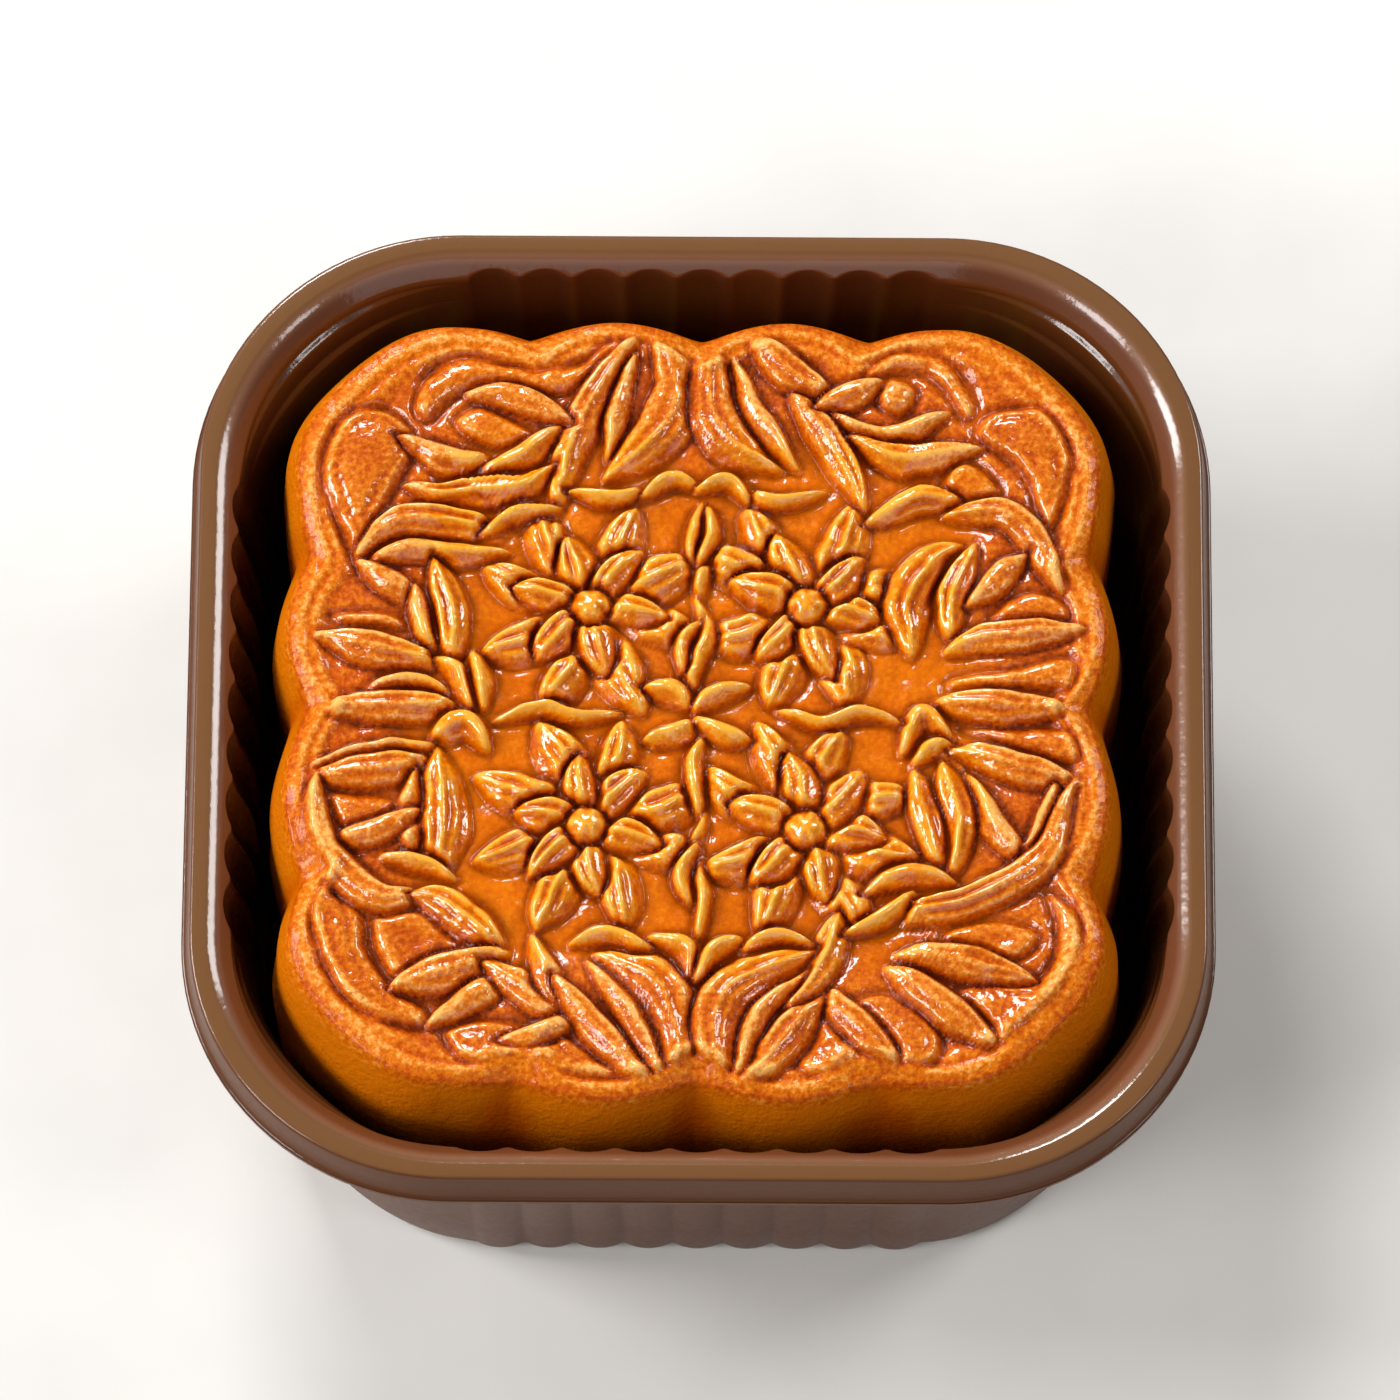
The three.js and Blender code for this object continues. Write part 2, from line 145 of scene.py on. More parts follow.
def corner_lobe(start, end, samples=60):
    """A round lobe about the corner's centre, eased to meet the notches at both its ends."""
    start, end = np.array(start) - CORNER_CENTRE, np.array(end) - CORNER_CENTRE
    part = np.linspace(0, 1, samples, endpoint=False)

    def round_at(angle):
        return CORNER_RADIUS + CORNER_SQUARE * np.sin(2 * (angle - math.pi / 4)) ** 2

    first, last = math.atan2(start[1], start[0]), math.atan2(end[1], end[0])
    angle = first + (last - first) * part
    radius = round_at(angle)
    for notch, notch_angle, off in ((start, first, part), (end, last, 1 - part)):
        eased = np.clip(1 - off / CORNER_EASE, 0, 1) ** EASE_POWER
        radius += (np.hypot(*notch) - round_at(notch_angle)) * eased
    return CORNER_CENTRE + np.stack([radius * np.cos(angle), radius * np.sin(angle)], 1)


# %% The whole outline
# Right, back, left and front side: half width at the notches, and where the notches are along
# the side, counter-clockwise.
SIDES = [(32.9, (-16.4, -0.6, 13.2)), (32.9, (-14.4, -0.2, 14.4)),
         (33.0, (-13.2, 0.6, 16.4)), (33.9, (-15.0, 0.0, 15.0))]
QUARTER_TURNS = [(1, 0), (0, 1), (-1, 0), (0, -1)]  # cosine and sine


def turned(points, turn):
    c, s = QUARTER_TURNS[turn]
    return np.stack([points[:, 0] * c - points[:, 1] * s, points[:, 0] * s + points[:, 1] * c], 1)


outline, notch_angles = [], []
for turn, (half, notches) in enumerate(SIDES):
    next_half, next_notches = SIDES[(turn + 1) % 4]
    outline.append(turned(side_lobes(half, notches), turn))
    outline.append(turned(corner_lobe((half, notches[-1]), (-next_notches[0], next_half)), turn))
    at_notches = turned(np.array([(half, place) for place in notches]), turn)
    notch_angles.extend(np.arctan2(at_notches[:, 1], at_notches[:, 0]))
outline = np.concatenate(outline)
outline_angles = np.mod(np.arctan2(outline[:, 1], outline[:, 0]), 2 * np.pi)
outline_radii = np.hypot(outline[:, 0], outline[:, 1])


def cake_radius(angle):
    return np.interp(np.mod(angle, 2 * np.pi), outline_angles, outline_radii, period=2 * np.pi)


def bell(distance, width):
    """1 at no distance and falling smoothly to 0 over a few widths."""
    return np.exp(-(distance / width) ** 2)


def notch_at(angle, width=2.2):
    """1 in a notch of the outline, falling to 0 a few millimetres beside it."""
    turns = (angle[:, None] - np.array(notch_angles) + np.pi) % (2 * np.pi) - np.pi
    return bell(np.abs(turns).min(1) * CAKE_HALF, width)


print("cake outline: %.1f mm wide, %.1f mm deep, %d notches"
      % (np.ptp(outline[:, 0]), np.ptp(outline[:, 1]), len(notch_angles)))

# %% [markdown]
# ## Ornament
#
# The mould is carved by hand: leaves in fans along the sides, broad petals in the corners and
# four blossoms in the middle. A carver thinks of each leaf as one cut along a line, so a leaf is
# written here as its width and a few points that its line passes through, in millimetres from
# the cake's middle.

# %% Leaves: width, then the points of the line
LEFT_LEAVES = [
    # fan at the back
    (2.9, (-5.7, 32.4), (-9.0, 27.0), (-11.0, 22.2), (-12.3, 17.2)),
    (1.7, (-5.7, 30.6), (-6.7, 26.4), (-7.7, 22.2)),
    (3.8, (-3.6, 32.6), (-1.9, 29.2), (-2.6, 25.6), (-4.8, 22.8), (-7.6, 20.6)),
    # back corner
    (2.3, (-19.0, 27.8), (-15.3, 27.3), (-11.0, 25.3)),
    (2.3, (-25.2, 23.5), (-20.9, 21.9), (-17.0, 21.2)),
    (2.2, (-18.3, 20.5), (-14.9, 22.1), (-12.1, 24.4)),
    (2.6, (-24.4, 19.2), (-19.7, 18.8), (-15.2, 19.3), (-12.8, 21.0)),
    (2.8, (-28.6, 13.2), (-25.7, 15.9), (-21.6, 16.3), (-17.6, 15.5), (-15.0, 17.0)),
    (2.2, (-28.0, 12.1), (-24.4, 13.4), (-20.8, 13.0), (-16.4, 13.5)),
    # fan at the side
    (2.0, (-28.4, 12.1), (-26.0, 10.5), (-23.4, 8.6)),
    (2.0, (-23.8, 9.6), (-23.1, 7.0), (-22.0, 4.2)),
    (2.7, (-22.1, 12.0), (-20.9, 8.4), (-20.6, 4.0)),
    (2.9, (-31.8, 5.5), (-27.0, 4.5), (-21.6, 3.6)),
    (1.5, (-28.8, -0.4), (-26.2, 1.2), (-23.0, 1.6), (-20.2, 0.0)),
    (2.8, (-31.0, -0.9), (-25.5, -0.8), (-20.0, -1.0)),
    (1.9, (-21.8, 3.8), (-20.0, 2.2), (-19.2, -0.6)),
    (1.6, (-18.9, 4.0), (-18.2, 2.0), (-18.0, -0.4)),
    (2.2, (-21.8, -3.7), (-19.8, -2.2), (-17.8, -3.8)),
    (1.8, (-31.6, -5.9), (-27.8, -4.9), (-22.2, -4.2)),
    (2.8, (-31.6, -6.9), (-27.0, -6.5), (-22.2, -5.6)),
    (3.7, (-21.6, -5.0), (-21.2, -10.0), (-21.2, -15.6)),
    (1.8, (-23.6, -6.8), (-24.1, -11.0), (-23.2, -13.8)),
    (2.2, (-30.0, -12.7), (-26.4, -11.5), (-23.6, -10.0)),
    (1.6, (-25.8, -14.0), (-22.6, -14.9), (-20.4, -15.9)),
    (2.9, (-31.9, -7.6), (-31.6, -12.4), (-29.2, -15.9), (-25.9, -17.8), (-21.8, -17.4)),
    (3.4, (-23.0, -17.8), (-20.0, -18.9), (-16.6, -22.4)),
    # front corner
    (2.9, (-24.9, -25.4), (-20.6, -24.4), (-16.3, -22.8)),
    (2.2, (-21.7, -28.4), (-18.2, -26.4), (-14.7, -24.4)),
    (2.9, (-17.3, -23.9), (-13.5, -26.4), (-9.9, -29.3)),
    (1.9, (-15.5, -30.4), (-12.8, -30.0), (-10.2, -28.7)),
    (2.2, (-13.5, -21.5), (-12.3, -25.1), (-10.4, -28.1)),
    # fan at the front
    (2.8, (-11.6, -25.4), (-8.3, -29.3), (-3.5, -33.9)),
    (2.7, (-8.5, -23.8), (-4.9, -27.6), (-2.5, -33.2)),
    (3.6, (-7.8, -22.7), (-3.6, -24.5), (-1.4, -28.6), (-1.3, -33.4)),
]
RIGHT_LEAVES = [
    # fan at the back
    (3.7, (1.2, 32.0), (0.9, 27.4), (2.7, 23.5), (6.8, 21.4)),
    (1.9, (3.3, 30.4), (5.2, 25.4), (8.0, 21.4)),
    (2.8, (4.6, 32.7), (7.4, 30.0), (10.7, 27.5)),
    (2.9, (8.2, 27.2), (10.7, 23.5), (13.8, 18.0)),
    # back corner
    (2.2, (10.4, 26.7), (12.8, 27.6), (15.0, 28.9)),
    (2.1, (11.8, 25.6), (15.5, 24.0), (21.0, 26.0)),
    (2.6, (13.0, 23.8), (17.1, 22.2), (23.4, 22.8)),
    (2.4, (14.7, 16.6), (18.8, 18.6), (22.6, 17.3)),
    (2.5, (21.4, 16.8), (26.0, 17.1), (28.9, 14.1), (30.4, 10.8)),
    # fan at the side
    (3.9, (17.9, 4.6), (17.6, 8.8), (19.2, 12.2), (21.7, 14.0)),
    (2.6, (22.0, 5.6), (21.3, 9.7), (23.1, 13.8)),
    (2.2, (23.2, 9.2), (25.0, 11.0), (27.3, 13.2)),
    (2.7, (21.7, 4.6), (26.0, 6.1), (31.8, 6.4)),
    (2.8, (20.6, -0.3), (25.2, -0.6), (30.6, -0.7)),
    (2.0, (17.2, -3.9), (18.8, -1.4), (20.8, -3.0)),
    (1.8, (18.2, -5.2), (20.0, -4.2), (21.8, -6.2)),
    (2.7, (21.4, -4.7), (26.0, -5.6), (31.4, -6.9)),
    (2.2, (22.6, -7.2), (24.6, -10.6), (27.6, -14.2)),
    (2.3, (29.8, -7.8), (29.2, -11.2), (27.6, -15.0)),
    (2.9, (20.4, -6.2), (21.7, -10.6), (21.2, -14.8)),
    (2.4, (18.0, -6.4), (18.9, -10.4), (20.2, -14.6)),
    (2.9, (31.3, -7.1), (30.1, -11.8), (27.5, -15.6), (21.9, -17.8), (16.7, -19.1), (14.4, -20.3)),
    (2.0, (14.6, -16.6), (17.4, -15.4), (21.0, -15.7)),
    # front corner
    (2.9, (16.8, -22.7), (21.9, -23.0), (27.6, -24.7)),
    (3.0, (16.0, -24.1), (20.3, -27.0), (24.4, -30.0)),
    (2.6, (10.9, -26.2), (13.6, -29.2), (16.4, -32.2)),
    # fan at the front
    (2.9, (10.5, -26.6), (7.6, -30.1), (4.1, -33.8)),
    (3.0, (11.8, -19.4), (10.4, -23.7), (8.3, -26.8)),
    (1.8, (8.8, -24.6), (5.6, -28.0), (3.6, -32.8)),
    (3.8, (9.3, -22.6), (4.3, -24.6), (1.8, -28.6), (2.2, -33.4)),
]
MIDDLE_LEAVES = [
    # stems that part the four blossoms
    (1.5, (0.3, 17.6), (-0.5, 14.4), (0.4, 11.2), (-0.3, 8.4)),
    (1.5, (-0.2, 8.8), (0.5, 5.8), (-0.4, 3.0), (0.0, -0.4)),
    (1.5, (0.2, -3.2), (-0.6, -7.0), (0.4, -10.6)),
    (1.5, (0.3, -10.2), (-0.5, -14.0), (0.3, -17.8), (-0.2, -21.6)),
    (1.5, (-16.6, -1.8), (-13.4, -0.8), (-10.0, -1.6), (-6.6, -1.0)),
    (1.5, (6.8, -1.0), (10.2, -1.7), (13.2, -0.9), (16.4, -1.6)),
    # small leaves beside the stems
    (1.5, (0.2, 12.6), (1.2, 14.8), (0.9, 17.0)),
    (1.4, (-0.4, 6.6), (-1.6, 5.0), (-1.4, 3.0)),
    (1.4, (-0.4, -13.0), (-1.4, -15.4), (-0.9, -17.6)),
    (1.6, (-17.8, 15.2), (-15.4, 16.8), (-12.6, 17.4)),
    (1.6, (12.8, -20.6), (15.2, -19.4), (17.6, -17.2)),
    (1.6, (-4.2, 19.2), (-7.4, 18.4), (-10.6, 18.9)),
    (1.5, (4.2, 18.8), (7.2, 18.0), (10.0, 18.8)),
    (1.6, (-4.0, -21.8), (-7.0, -20.8), (-9.8, -21.8)),
    (1.5, (3.8, -22.0), (6.6, -20.9), (9.2, -21.7)),
    (1.9, (-0.5, -0.4), (-2.0, 0.8), (-3.6, 1.2)),
    (1.9, (0.5, -0.6), (2.0, 0.6), (3.6, 1.0)),
    (1.9, (-0.5, -2.2), (-2.0, -3.2), (-3.8, -3.4)),
    (1.9, (0.5, -2.0), (2.0, -3.1), (3.7, -3.5)),
    (1.7, (-0.3, 19.6), (-2.4, 20.2), (-4.2, 18.9)),
    (1.6, (0.4, 19.4), (2.6, 19.9), (4.0, 18.4)),
    (1.8, (-0.3, -24.6), (-1.2, -22.2), (-3.4, -21.2)),
    (1.8, (0.3, -24.5), (1.4, -22.4), (3.2, -21.4)),
]

# %% [markdown]
# The broad petals and the raised ground between the leaves are pads: closed outlines with a
# height, how far their face is dished (or domed, below 0), and whether it is engraved with a line
# inside its edge.

# %% Pads: height, dish, engraved (1) or plain (0), then the outline
PADS = [
    # back left corner
    (0.50, -0.65, 1, (-29.0, 12.9), (-31.2, 16.6), (-32.2, 20.6), (-31.4, 24.2), (-29.0, 26.4),
     (-25.8, 26.1), (-24.0, 24.2), (-24.5, 21.5), (-25.7, 18.9), (-27.7, 15.4)),
    (0.55, -0.50, 0, (-24.1, 26.3), (-23.7, 28.7), (-21.8, 30.5), (-18.6, 31.3), (-15.4, 30.6),
     (-12.9, 30.2), (-9.7, 31.0), (-6.9, 32.8), (-7.8, 30.0), (-10.5, 28.2), (-13.7, 27.7),
     (-17.8, 28.3), (-20.2, 27.7), (-22.6, 25.5)),
    (0.65, 0.45, 0, (-20.8, 25.5), (-18.6, 26.9), (-15.3, 25.2), (-12.8, 23.8), (-15.3, 22.8),
     (-18.6, 23.2)),
    # back right corner
    (0.50, -0.65, 1, (29.3, 15.1), (27.6, 19.7), (25.2, 22.3), (23.5, 24.4), (24.4, 26.4),
     (27.0, 27.1), (29.9, 25.9), (31.5, 22.7), (31.3, 19.3), (30.1, 16.0)),
    (0.55, -0.50, 0, (13.8, 29.5), (15.8, 31.4), (19.2, 31.8), (22.2, 30.2), (24.0, 27.1),
     (22.8, 25.6), (21.1, 28.3), (19.2, 29.7), (16.6, 29.8)),
    (0.80, -0.50, 0, (14.9, 27.9), (15.5, 29.4), (16.9, 29.8), (18.4, 29.1), (18.7, 27.6),
     (17.7, 26.2), (15.9, 26.3)),
    (0.85, 0.10, 0, (20.2, 19.1), (22.8, 22.1), (25.8, 19.2), (23.7, 17.9)),
    # front left corner
    (0.55, -0.45, 1, (-30.2, -15.5), (-32.4, -18.1), (-31.9, -22.3), (-29.8, -26.3),
     (-26.2, -28.5), (-21.6, -29.0), (-22.2, -27.3), (-25.0, -25.6), (-27.4, -22.7),
     (-28.0, -18.9)),
    (0.85, 0.55, 0, (-27.4, -20.2), (-26.7, -23.2), (-24.6, -25.3), (-20.6, -24.0),
     (-17.3, -21.8), (-20.2, -19.6), (-23.5, -18.8), (-26.8, -19.1)),
    (0.50, -0.40, 1, (-21.1, -29.3), (-20.3, -31.7), (-17.4, -33.2), (-13.4, -33.9),
     (-8.6, -34.0), (-5.9, -33.4), (-8.5, -31.3), (-11.0, -29.7), (-14.2, -28.8),
     (-18.2, -28.3)),
    # front right corner
    (0.55, -0.45, 1, (29.4, -16.8), (31.8, -18.9), (32.6, -22.8), (31.4, -26.8), (28.4, -29.8),
     (25.5, -30.9), (23.3, -29.2), (21.3, -26.1), (23.4, -24.8), (27.4, -24.8), (29.4, -22.8),
     (29.8, -19.4)),
    (0.50, -0.40, 1, (11.0, -27.4), (15.5, -26.1), (19.3, -27.8), (20.9, -30.4), (18.8, -33.2),
     (14.0, -34.0), (9.4, -33.4), (7.8, -31.3), (9.4, -29.1)),
    (0.80, 0.45, 0, (20.2, -20.6), (23.5, -19.2), (27.6, -19.6), (28.4, -21.1), (25.5, -23.0),
     (21.8, -22.1)),
    # between the leaves at the sides
    (0.63, 0.18, 0, (-31.2, 7.8), (-28.0, 8.3), (-25.2, 7.8), (-24.4, 6.6), (-27.0, 6.6),
     (-30.2, 6.9)),
    (0.63, 0.18, 0, (-31.0, -8.6), (-27.6, -8.3), (-25.0, -9.0), (-26.6, -10.6), (-29.4, -11.6)),
    (0.63, 0.18, 0, (24.6, 8.0), (27.6, 10.6), (30.4, 9.9), (31.4, 7.6), (27.0, 7.0)),
    (0.63, 0.18, 0, (21.6, 2.3), (26.4, 3.2), (31.0, 4.2), (32.0, 2.4), (31.2, 0.9), (27.0, 1.1),
     (21.6, 0.9)),
    (0.63, 0.18, 0, (22.0, -2.5), (26.0, -2.0), (30.6, -2.3), (31.8, -3.6), (31.2, -5.2),
     (26.4, -4.1)),
]
print(len(LEFT_LEAVES + RIGHT_LEAVES + MIDDLE_LEAVES), "leaves and", len(PADS), "pads")


# %% [markdown]
# Dough is never even. A smooth random field, made from values on a lattice that are eased into
# each other, shifts and swells the pattern slightly. It is seeded, so every run is the same cake.

# %% Smooth random fields
def smooth_noise(x, y, size, seed):
    """Random values on a lattice of that spacing, eased between its corners, from -1 to 1."""
    table = np.random.default_rng(seed).uniform(-1, 1, (256, 256))
    u, v = np.asarray(x) / size + 128, np.asarray(y) / size + 128
    i, j = np.floor(u).astype(int), np.floor(v).astype(int)
    a, b = u - i, v - j
    a, b = a * a * (3 - 2 * a), b * b * (3 - 2 * b)
    low = table[i % 256, j % 256] * (1 - a) + table[(i + 1) % 256, j % 256] * a
    high = table[i % 256, (j + 1) % 256] * (1 - a) + table[(i + 1) % 256, (j + 1) % 256] * a
    return low * (1 - b) + high * b


def waves(x, y, rows, start=0.0):
    """Adds fields to a start. Each row is a height, a spacing and a seed."""
    return sum((height * smooth_noise(x, y, size, seed) for height, size, seed in rows), start)


# %% [markdown]
# The relief is worked out as a height for every point of the top, as a carver would check it with
# a depth gauge. That needs a smooth line through the points of a form, and each point's distance
# from that line.

# %% Smooth lines and distances from them
def spline(points, steps=7, closed=False):
    """A smooth line through the points (Catmull-Rom), as short straight steps."""
    p = np.array(points, float)
    if closed:
        p = np.vstack([p[-1], p, p[0], p[1]])
    else:
        p = np.vstack([2 * p[0] - p[1], p, 2 * p[-1] - p[-2]])
    t = np.linspace(0, 1, steps, endpoint=False)[:, None]
    parts = [0.5 * (2 * b + (c - a) * t + (2 * a - 5 * b + 4 * c - d) * t ** 2
                    + (3 * b - a - 3 * c + d) * t ** 3) for a, b, c, d in zip(p, p[1:], p[2:], p[3:])]
    return np.concatenate(parts if closed else parts + [p[-2:-1]])


def from_line(line, x, y, closed=False):
    """Distance from a line, how far along it (0 to 1), and its side (1 on the left, or -1)."""
    start = line if closed else line[:-1]
    way = (np.roll(line, -1, 0) if closed else line[1:]) - start
    length = np.hypot(way[:, 0], way[:, 1])
    dx, dy = x[:, None] - start[:, 0], y[:, None] - start[:, 1]
    part = np.clip((dx * way[:, 0] + dy * way[:, 1]) / length ** 2, 0, 1)
    gap = np.hypot(dx - part * way[:, 0], dy - part * way[:, 1])
    best = gap.argmin(1)
    rows = np.arange(len(x))
    before = np.cumsum(length) - length
    along = (before[best] + part[rows, best] * length[best]) / length.sum()
    cross = way[best, 0] * dy[rows, best] - way[best, 1] * dx[rows, best]
    return gap[rows, best], along, np.sign(cross)


def near(line, x, y, reach):
    low, high = line.min(0) - reach, line.max(0) + reach
    return (x > low[0]) & (x < high[0]) & (y > low[1]) & (y < high[1])


def within(line, x, y):
    """Whether points are inside a closed outline: a ray to the right crosses it an odd count."""
    a, b = line, np.roll(line, -1, 0)
    crossed = (a[:, 1] > y[:, None]) != (b[:, 1] > y[:, None])
    at = (b[:, 0] - a[:, 0]) * (y[:, None] - a[:, 1]) / (b[:, 1] - a[:, 1] + 1e-12) + a[:, 0]
    return (crossed & (x[:, None] < at)).sum(1) % 2 == 1


def ease(value):
    """Clips to 0 and 1 and rounds both ends off."""
    value = np.clip(value, 0, 1)
    return value * value * (3 - 2 * value)


# %% [markdown]
# The forms are pressed one after the other, so a later one cuts a groove into what is already
# there. That gives the dark creases between neighbours. A leaf's section is drawn from its front
# edge (-1) to its back edge (1): a long front slope, a crest behind the middle and a short fall.
# A wide leaf carries a second crest, as if two strokes of the gouge met.

# %% Press a leaf
LEAF_HEIGHT, WIDE_LEAF, LEAF_SPREAD, LEAF_TIP = 1.9, 2.9, 1.18, 0.9
SECTION = ((-1.0, -0.45, 0.28, 0.72, 1.0), (0.22, 0.58, 1.0, 0.74, 0.3))
WIDE_SECTION = ((-1.0, -0.55, 0.02, 0.38, 0.66, 1.0), (0.2, 0.5, 1.0, 0.74, 0.92, 0.3))
LEAN = 0.45  # turns the way in which a leaf's back edge is on its left
BLUNT, BLUNT_TOP, TIP_HEIGHT = 0.74, 0.55, 0.35  # powers of width and height, share at the tip
STRIA, STRIA_PITCH, STRIA_FROM = 0.1, 1.05, 1.8  # fine lines along leaves wider than that
EDGE_FALL, EDGE_POWER = 0.4, 0.6
GROOVE, GROOVE_DEPTH, LEAF_WEAR = 0.34, 0.34, 0.8  # wear: share of older forms that is cut off


def lay_on(raised, here, covered, form, groove, wear, depth):
    """Lays a form on the points it covers, and cuts its groove into what is round it."""
    cut = raised[here] * (1 - wear * groove) - depth * groove
    raised[here] = np.where(covered, form, cut)


def press_leaf(raised, row, x, y):
    width, path = row[0] * LEAF_SPREAD, np.array(row[1:], float)
    for end, other in ((0, 1), (-1, -2)):
        way = path[end] - path[other]
        path[end] += LEAF_TIP * way / np.hypot(*way)
    line = spline(path)
    here = near(line, x, y, width)
    gap, along, side = from_line(line, x[here], y[here])
    full = np.clip(4 * along * (1 - along), 0, 1)
    half = 0.5 * width * full ** BLUNT + 1e-6
    way = line[-1] - line[0]
    back = 1 if LEAN * way[1] + way[0] > 0 else -1
    across = np.clip(gap / half, 0, 1) * side * back
    roof = np.interp(across, *(WIDE_SECTION if width > WIDE_LEAF else SECTION))
    stria = STRIA * np.cos(across * math.pi * width / STRIA_PITCH)
    roof += stria * np.clip(width - STRIA_FROM, 0, 1)
    form = LEAF_HEIGHT * roof * (TIP_HEIGHT + (1 - TIP_HEIGHT) * full ** BLUNT_TOP)
    form *= np.clip((half - gap) / EDGE_FALL, 0, 1) ** EDGE_POWER
    groove = bell(np.maximum(gap - half, 0), GROOVE)
    lay_on(raised, here, gap < half, form, groove, LEAF_WEAR, GROOVE_DEPTH)


# %% [markdown]
# A pad is one face with a groove round it. An engraved one has a fine line inside its edge and
# rows of small dots, which give the egg glaze a hold.

# %% Press a pad
PAD_GROOVE, PAD_WEAR, PAD_MARGIN = 0.5, 0.9, 1.5
DISH_REACH, PAD_ROUND = 2.2, 0.65  # how far from the edge a face is dished, and rounded
ENGRAVED = ((0.14, 0.75, 0.28), (-0.16, 1.35, 0.24))
STIPPLE, STIPPLE_PITCH, STIPPLE_FADE = 0.12, 1.0, 1.4


def fine_lines(distance, rows):
    """Fine lines side by side. Each row is a rise, a place and a width."""
    return sum(rise * bell(distance - at, width) for rise, at, width in rows)


def press_pad(raised, row, x, y):
    height, dish, engraved = row[:3]
    line = spline(row[3:], closed=True)
    here = near(line, x, y, PAD_MARGIN)
    gap, along, _ = from_line(line, x[here], y[here], closed=True)
    groove = bell(gap, GROOVE)
    face = height - dish * (1 - bell(gap, DISH_REACH))
    if engraved:
        face += fine_lines(gap, ENGRAVED)
        length = np.hypot(*(line - np.roll(line, 1, 0)).T).sum()
        dots = (np.sin(2 * math.pi * gap / STIPPLE_PITCH)
                * np.sin(along * length * 2 * math.pi / STIPPLE_PITCH))
        face += STIPPLE * dots * np.clip(gap / STIPPLE_FADE, 0, 1)
    form = np.maximum(face * (1 - bell(gap, PAD_ROUND)) - PAD_GROOVE * groove, -PAD_GROOVE)
    lay_on(raised, here, within(line, x[here], y[here]), form, groove, PAD_WEAR, PAD_GROOVE)


# %% [markdown]
# A blossom is pressed from the same strokes: two rings of plump pointed petals, each one a leaf
# that starts near the middle, and a knob of seeds on top. Its outer petals are longer towards the
# corners of its square field, as a carver fills the room there is. A seeded draw makes each
# petal a little longer, wider or more bent than the next.

# %% Press a blossom
BLOSSOM_X, BLOSSOM_BACK_Y, BLOSSOM_FRONT_Y = 9.1, 8.6, -11.2
# number of petals, start, reach, extra reach at the corners, width, first angle as a share
PETAL_RINGS = [(8, 2.4, 9.4, 1.1, 3.5, 0.5), (6, 0.9, 5.9, 0.0, 3.0, 0.25)]
TWIST, BEND, LENGTHS, WIDTHS = 0.09, 0.14, (0.94, 1.04), (0.88, 1.1)  # limits of the draws
KNOB, SEEDS, SEED_HEIGHT, KNOB_WEAR = 1.7, 6, 0.3, 0.85


def press_blossom(raised, centre, turn, rng, x, y):
    for count, start, reach, extra, width, shift in PETAL_RINGS:
        for number in range(count):
            way = turn + (number + shift) * 2 * math.pi / count + rng.uniform(-TWIST, TWIST)
            end = (reach + extra * math.cos(4 * way + math.pi)) * rng.uniform(*LENGTHS)
            bend = rng.uniform(-BEND, BEND)
            line = [(centre[0] + r * math.cos(way + t), centre[1] + r * math.sin(way + t))
                    for r, t in ((start, 0), (0.5 * (start + end), bend), (end, 0))]
            press_leaf(raised, (width * rng.uniform(*WIDTHS), *line), x, y)
    radius = np.hypot(x - centre[0], y - centre[1])
    round_it = np.arctan2(y - centre[1], x - centre[0])
    seeds = SEED_HEIGHT * np.cos(SEEDS * round_it) * np.clip(radius / KNOB, 0, 1)
    form = (LEAF_HEIGHT + seeds) * np.sqrt(np.clip(1 - (radius / KNOB) ** 2, 0, 1))
    groove = bell(np.maximum(radius - KNOB, 0), GROOVE)
    lay_on(raised, slice(None), radius < KNOB, form, groove, KNOB_WEAR, GROOVE_DEPTH)


# %% [markdown]
# All forms together make the relief. The random fields shift them a little and let them swell.

# %% All forms, on uneven dough
# Rows for waves(): height, spacing and seed.
SHIFT_X, SHIFT_Y = ((0.38, 5.5, 11), (0.14, 1.7, 12)), ((0.38, 5.5, 13), (0.14, 1.7, 14))
SWELL, MEAN_SWELL = ((0.06, 6.0, 15), (0.07, 2.0, 16)), 0.94
PETAL_SEED = 4


def relief_at(x, y):
    """Height of the pressed forms above the ground."""
    wx, wy = waves(x, y, SHIFT_X, x), waves(x, y, SHIFT_Y, y)
    raised = np.zeros_like(x)
    for row in PADS:
        press_pad(raised, row, wx, wy)
    rng = np.random.default_rng(PETAL_SEED)
    for bx in (-BLOSSOM_X, BLOSSOM_X):
        for by in (BLOSSOM_BACK_Y, BLOSSOM_FRONT_Y):
            press_blossom(raised, (bx, by), math.copysign(math.pi / 2, by), rng, wx, wy)
    for row in LEFT_LEAVES + RIGHT_LEAVES + MIDDLE_LEAVES:
        press_leaf(raised, row, wx, wy)
    return raised * waves(x, y, SWELL, MEAN_SWELL)


# %% [markdown]
# Now the whole top. The ground is low and flat in the middle and rises towards the rim, where the
# petals lie against it. The border is a soft shoulder that follows the outline and dips inwards
# at each notch, so that the lobes stand apart like the scallops of a shell.

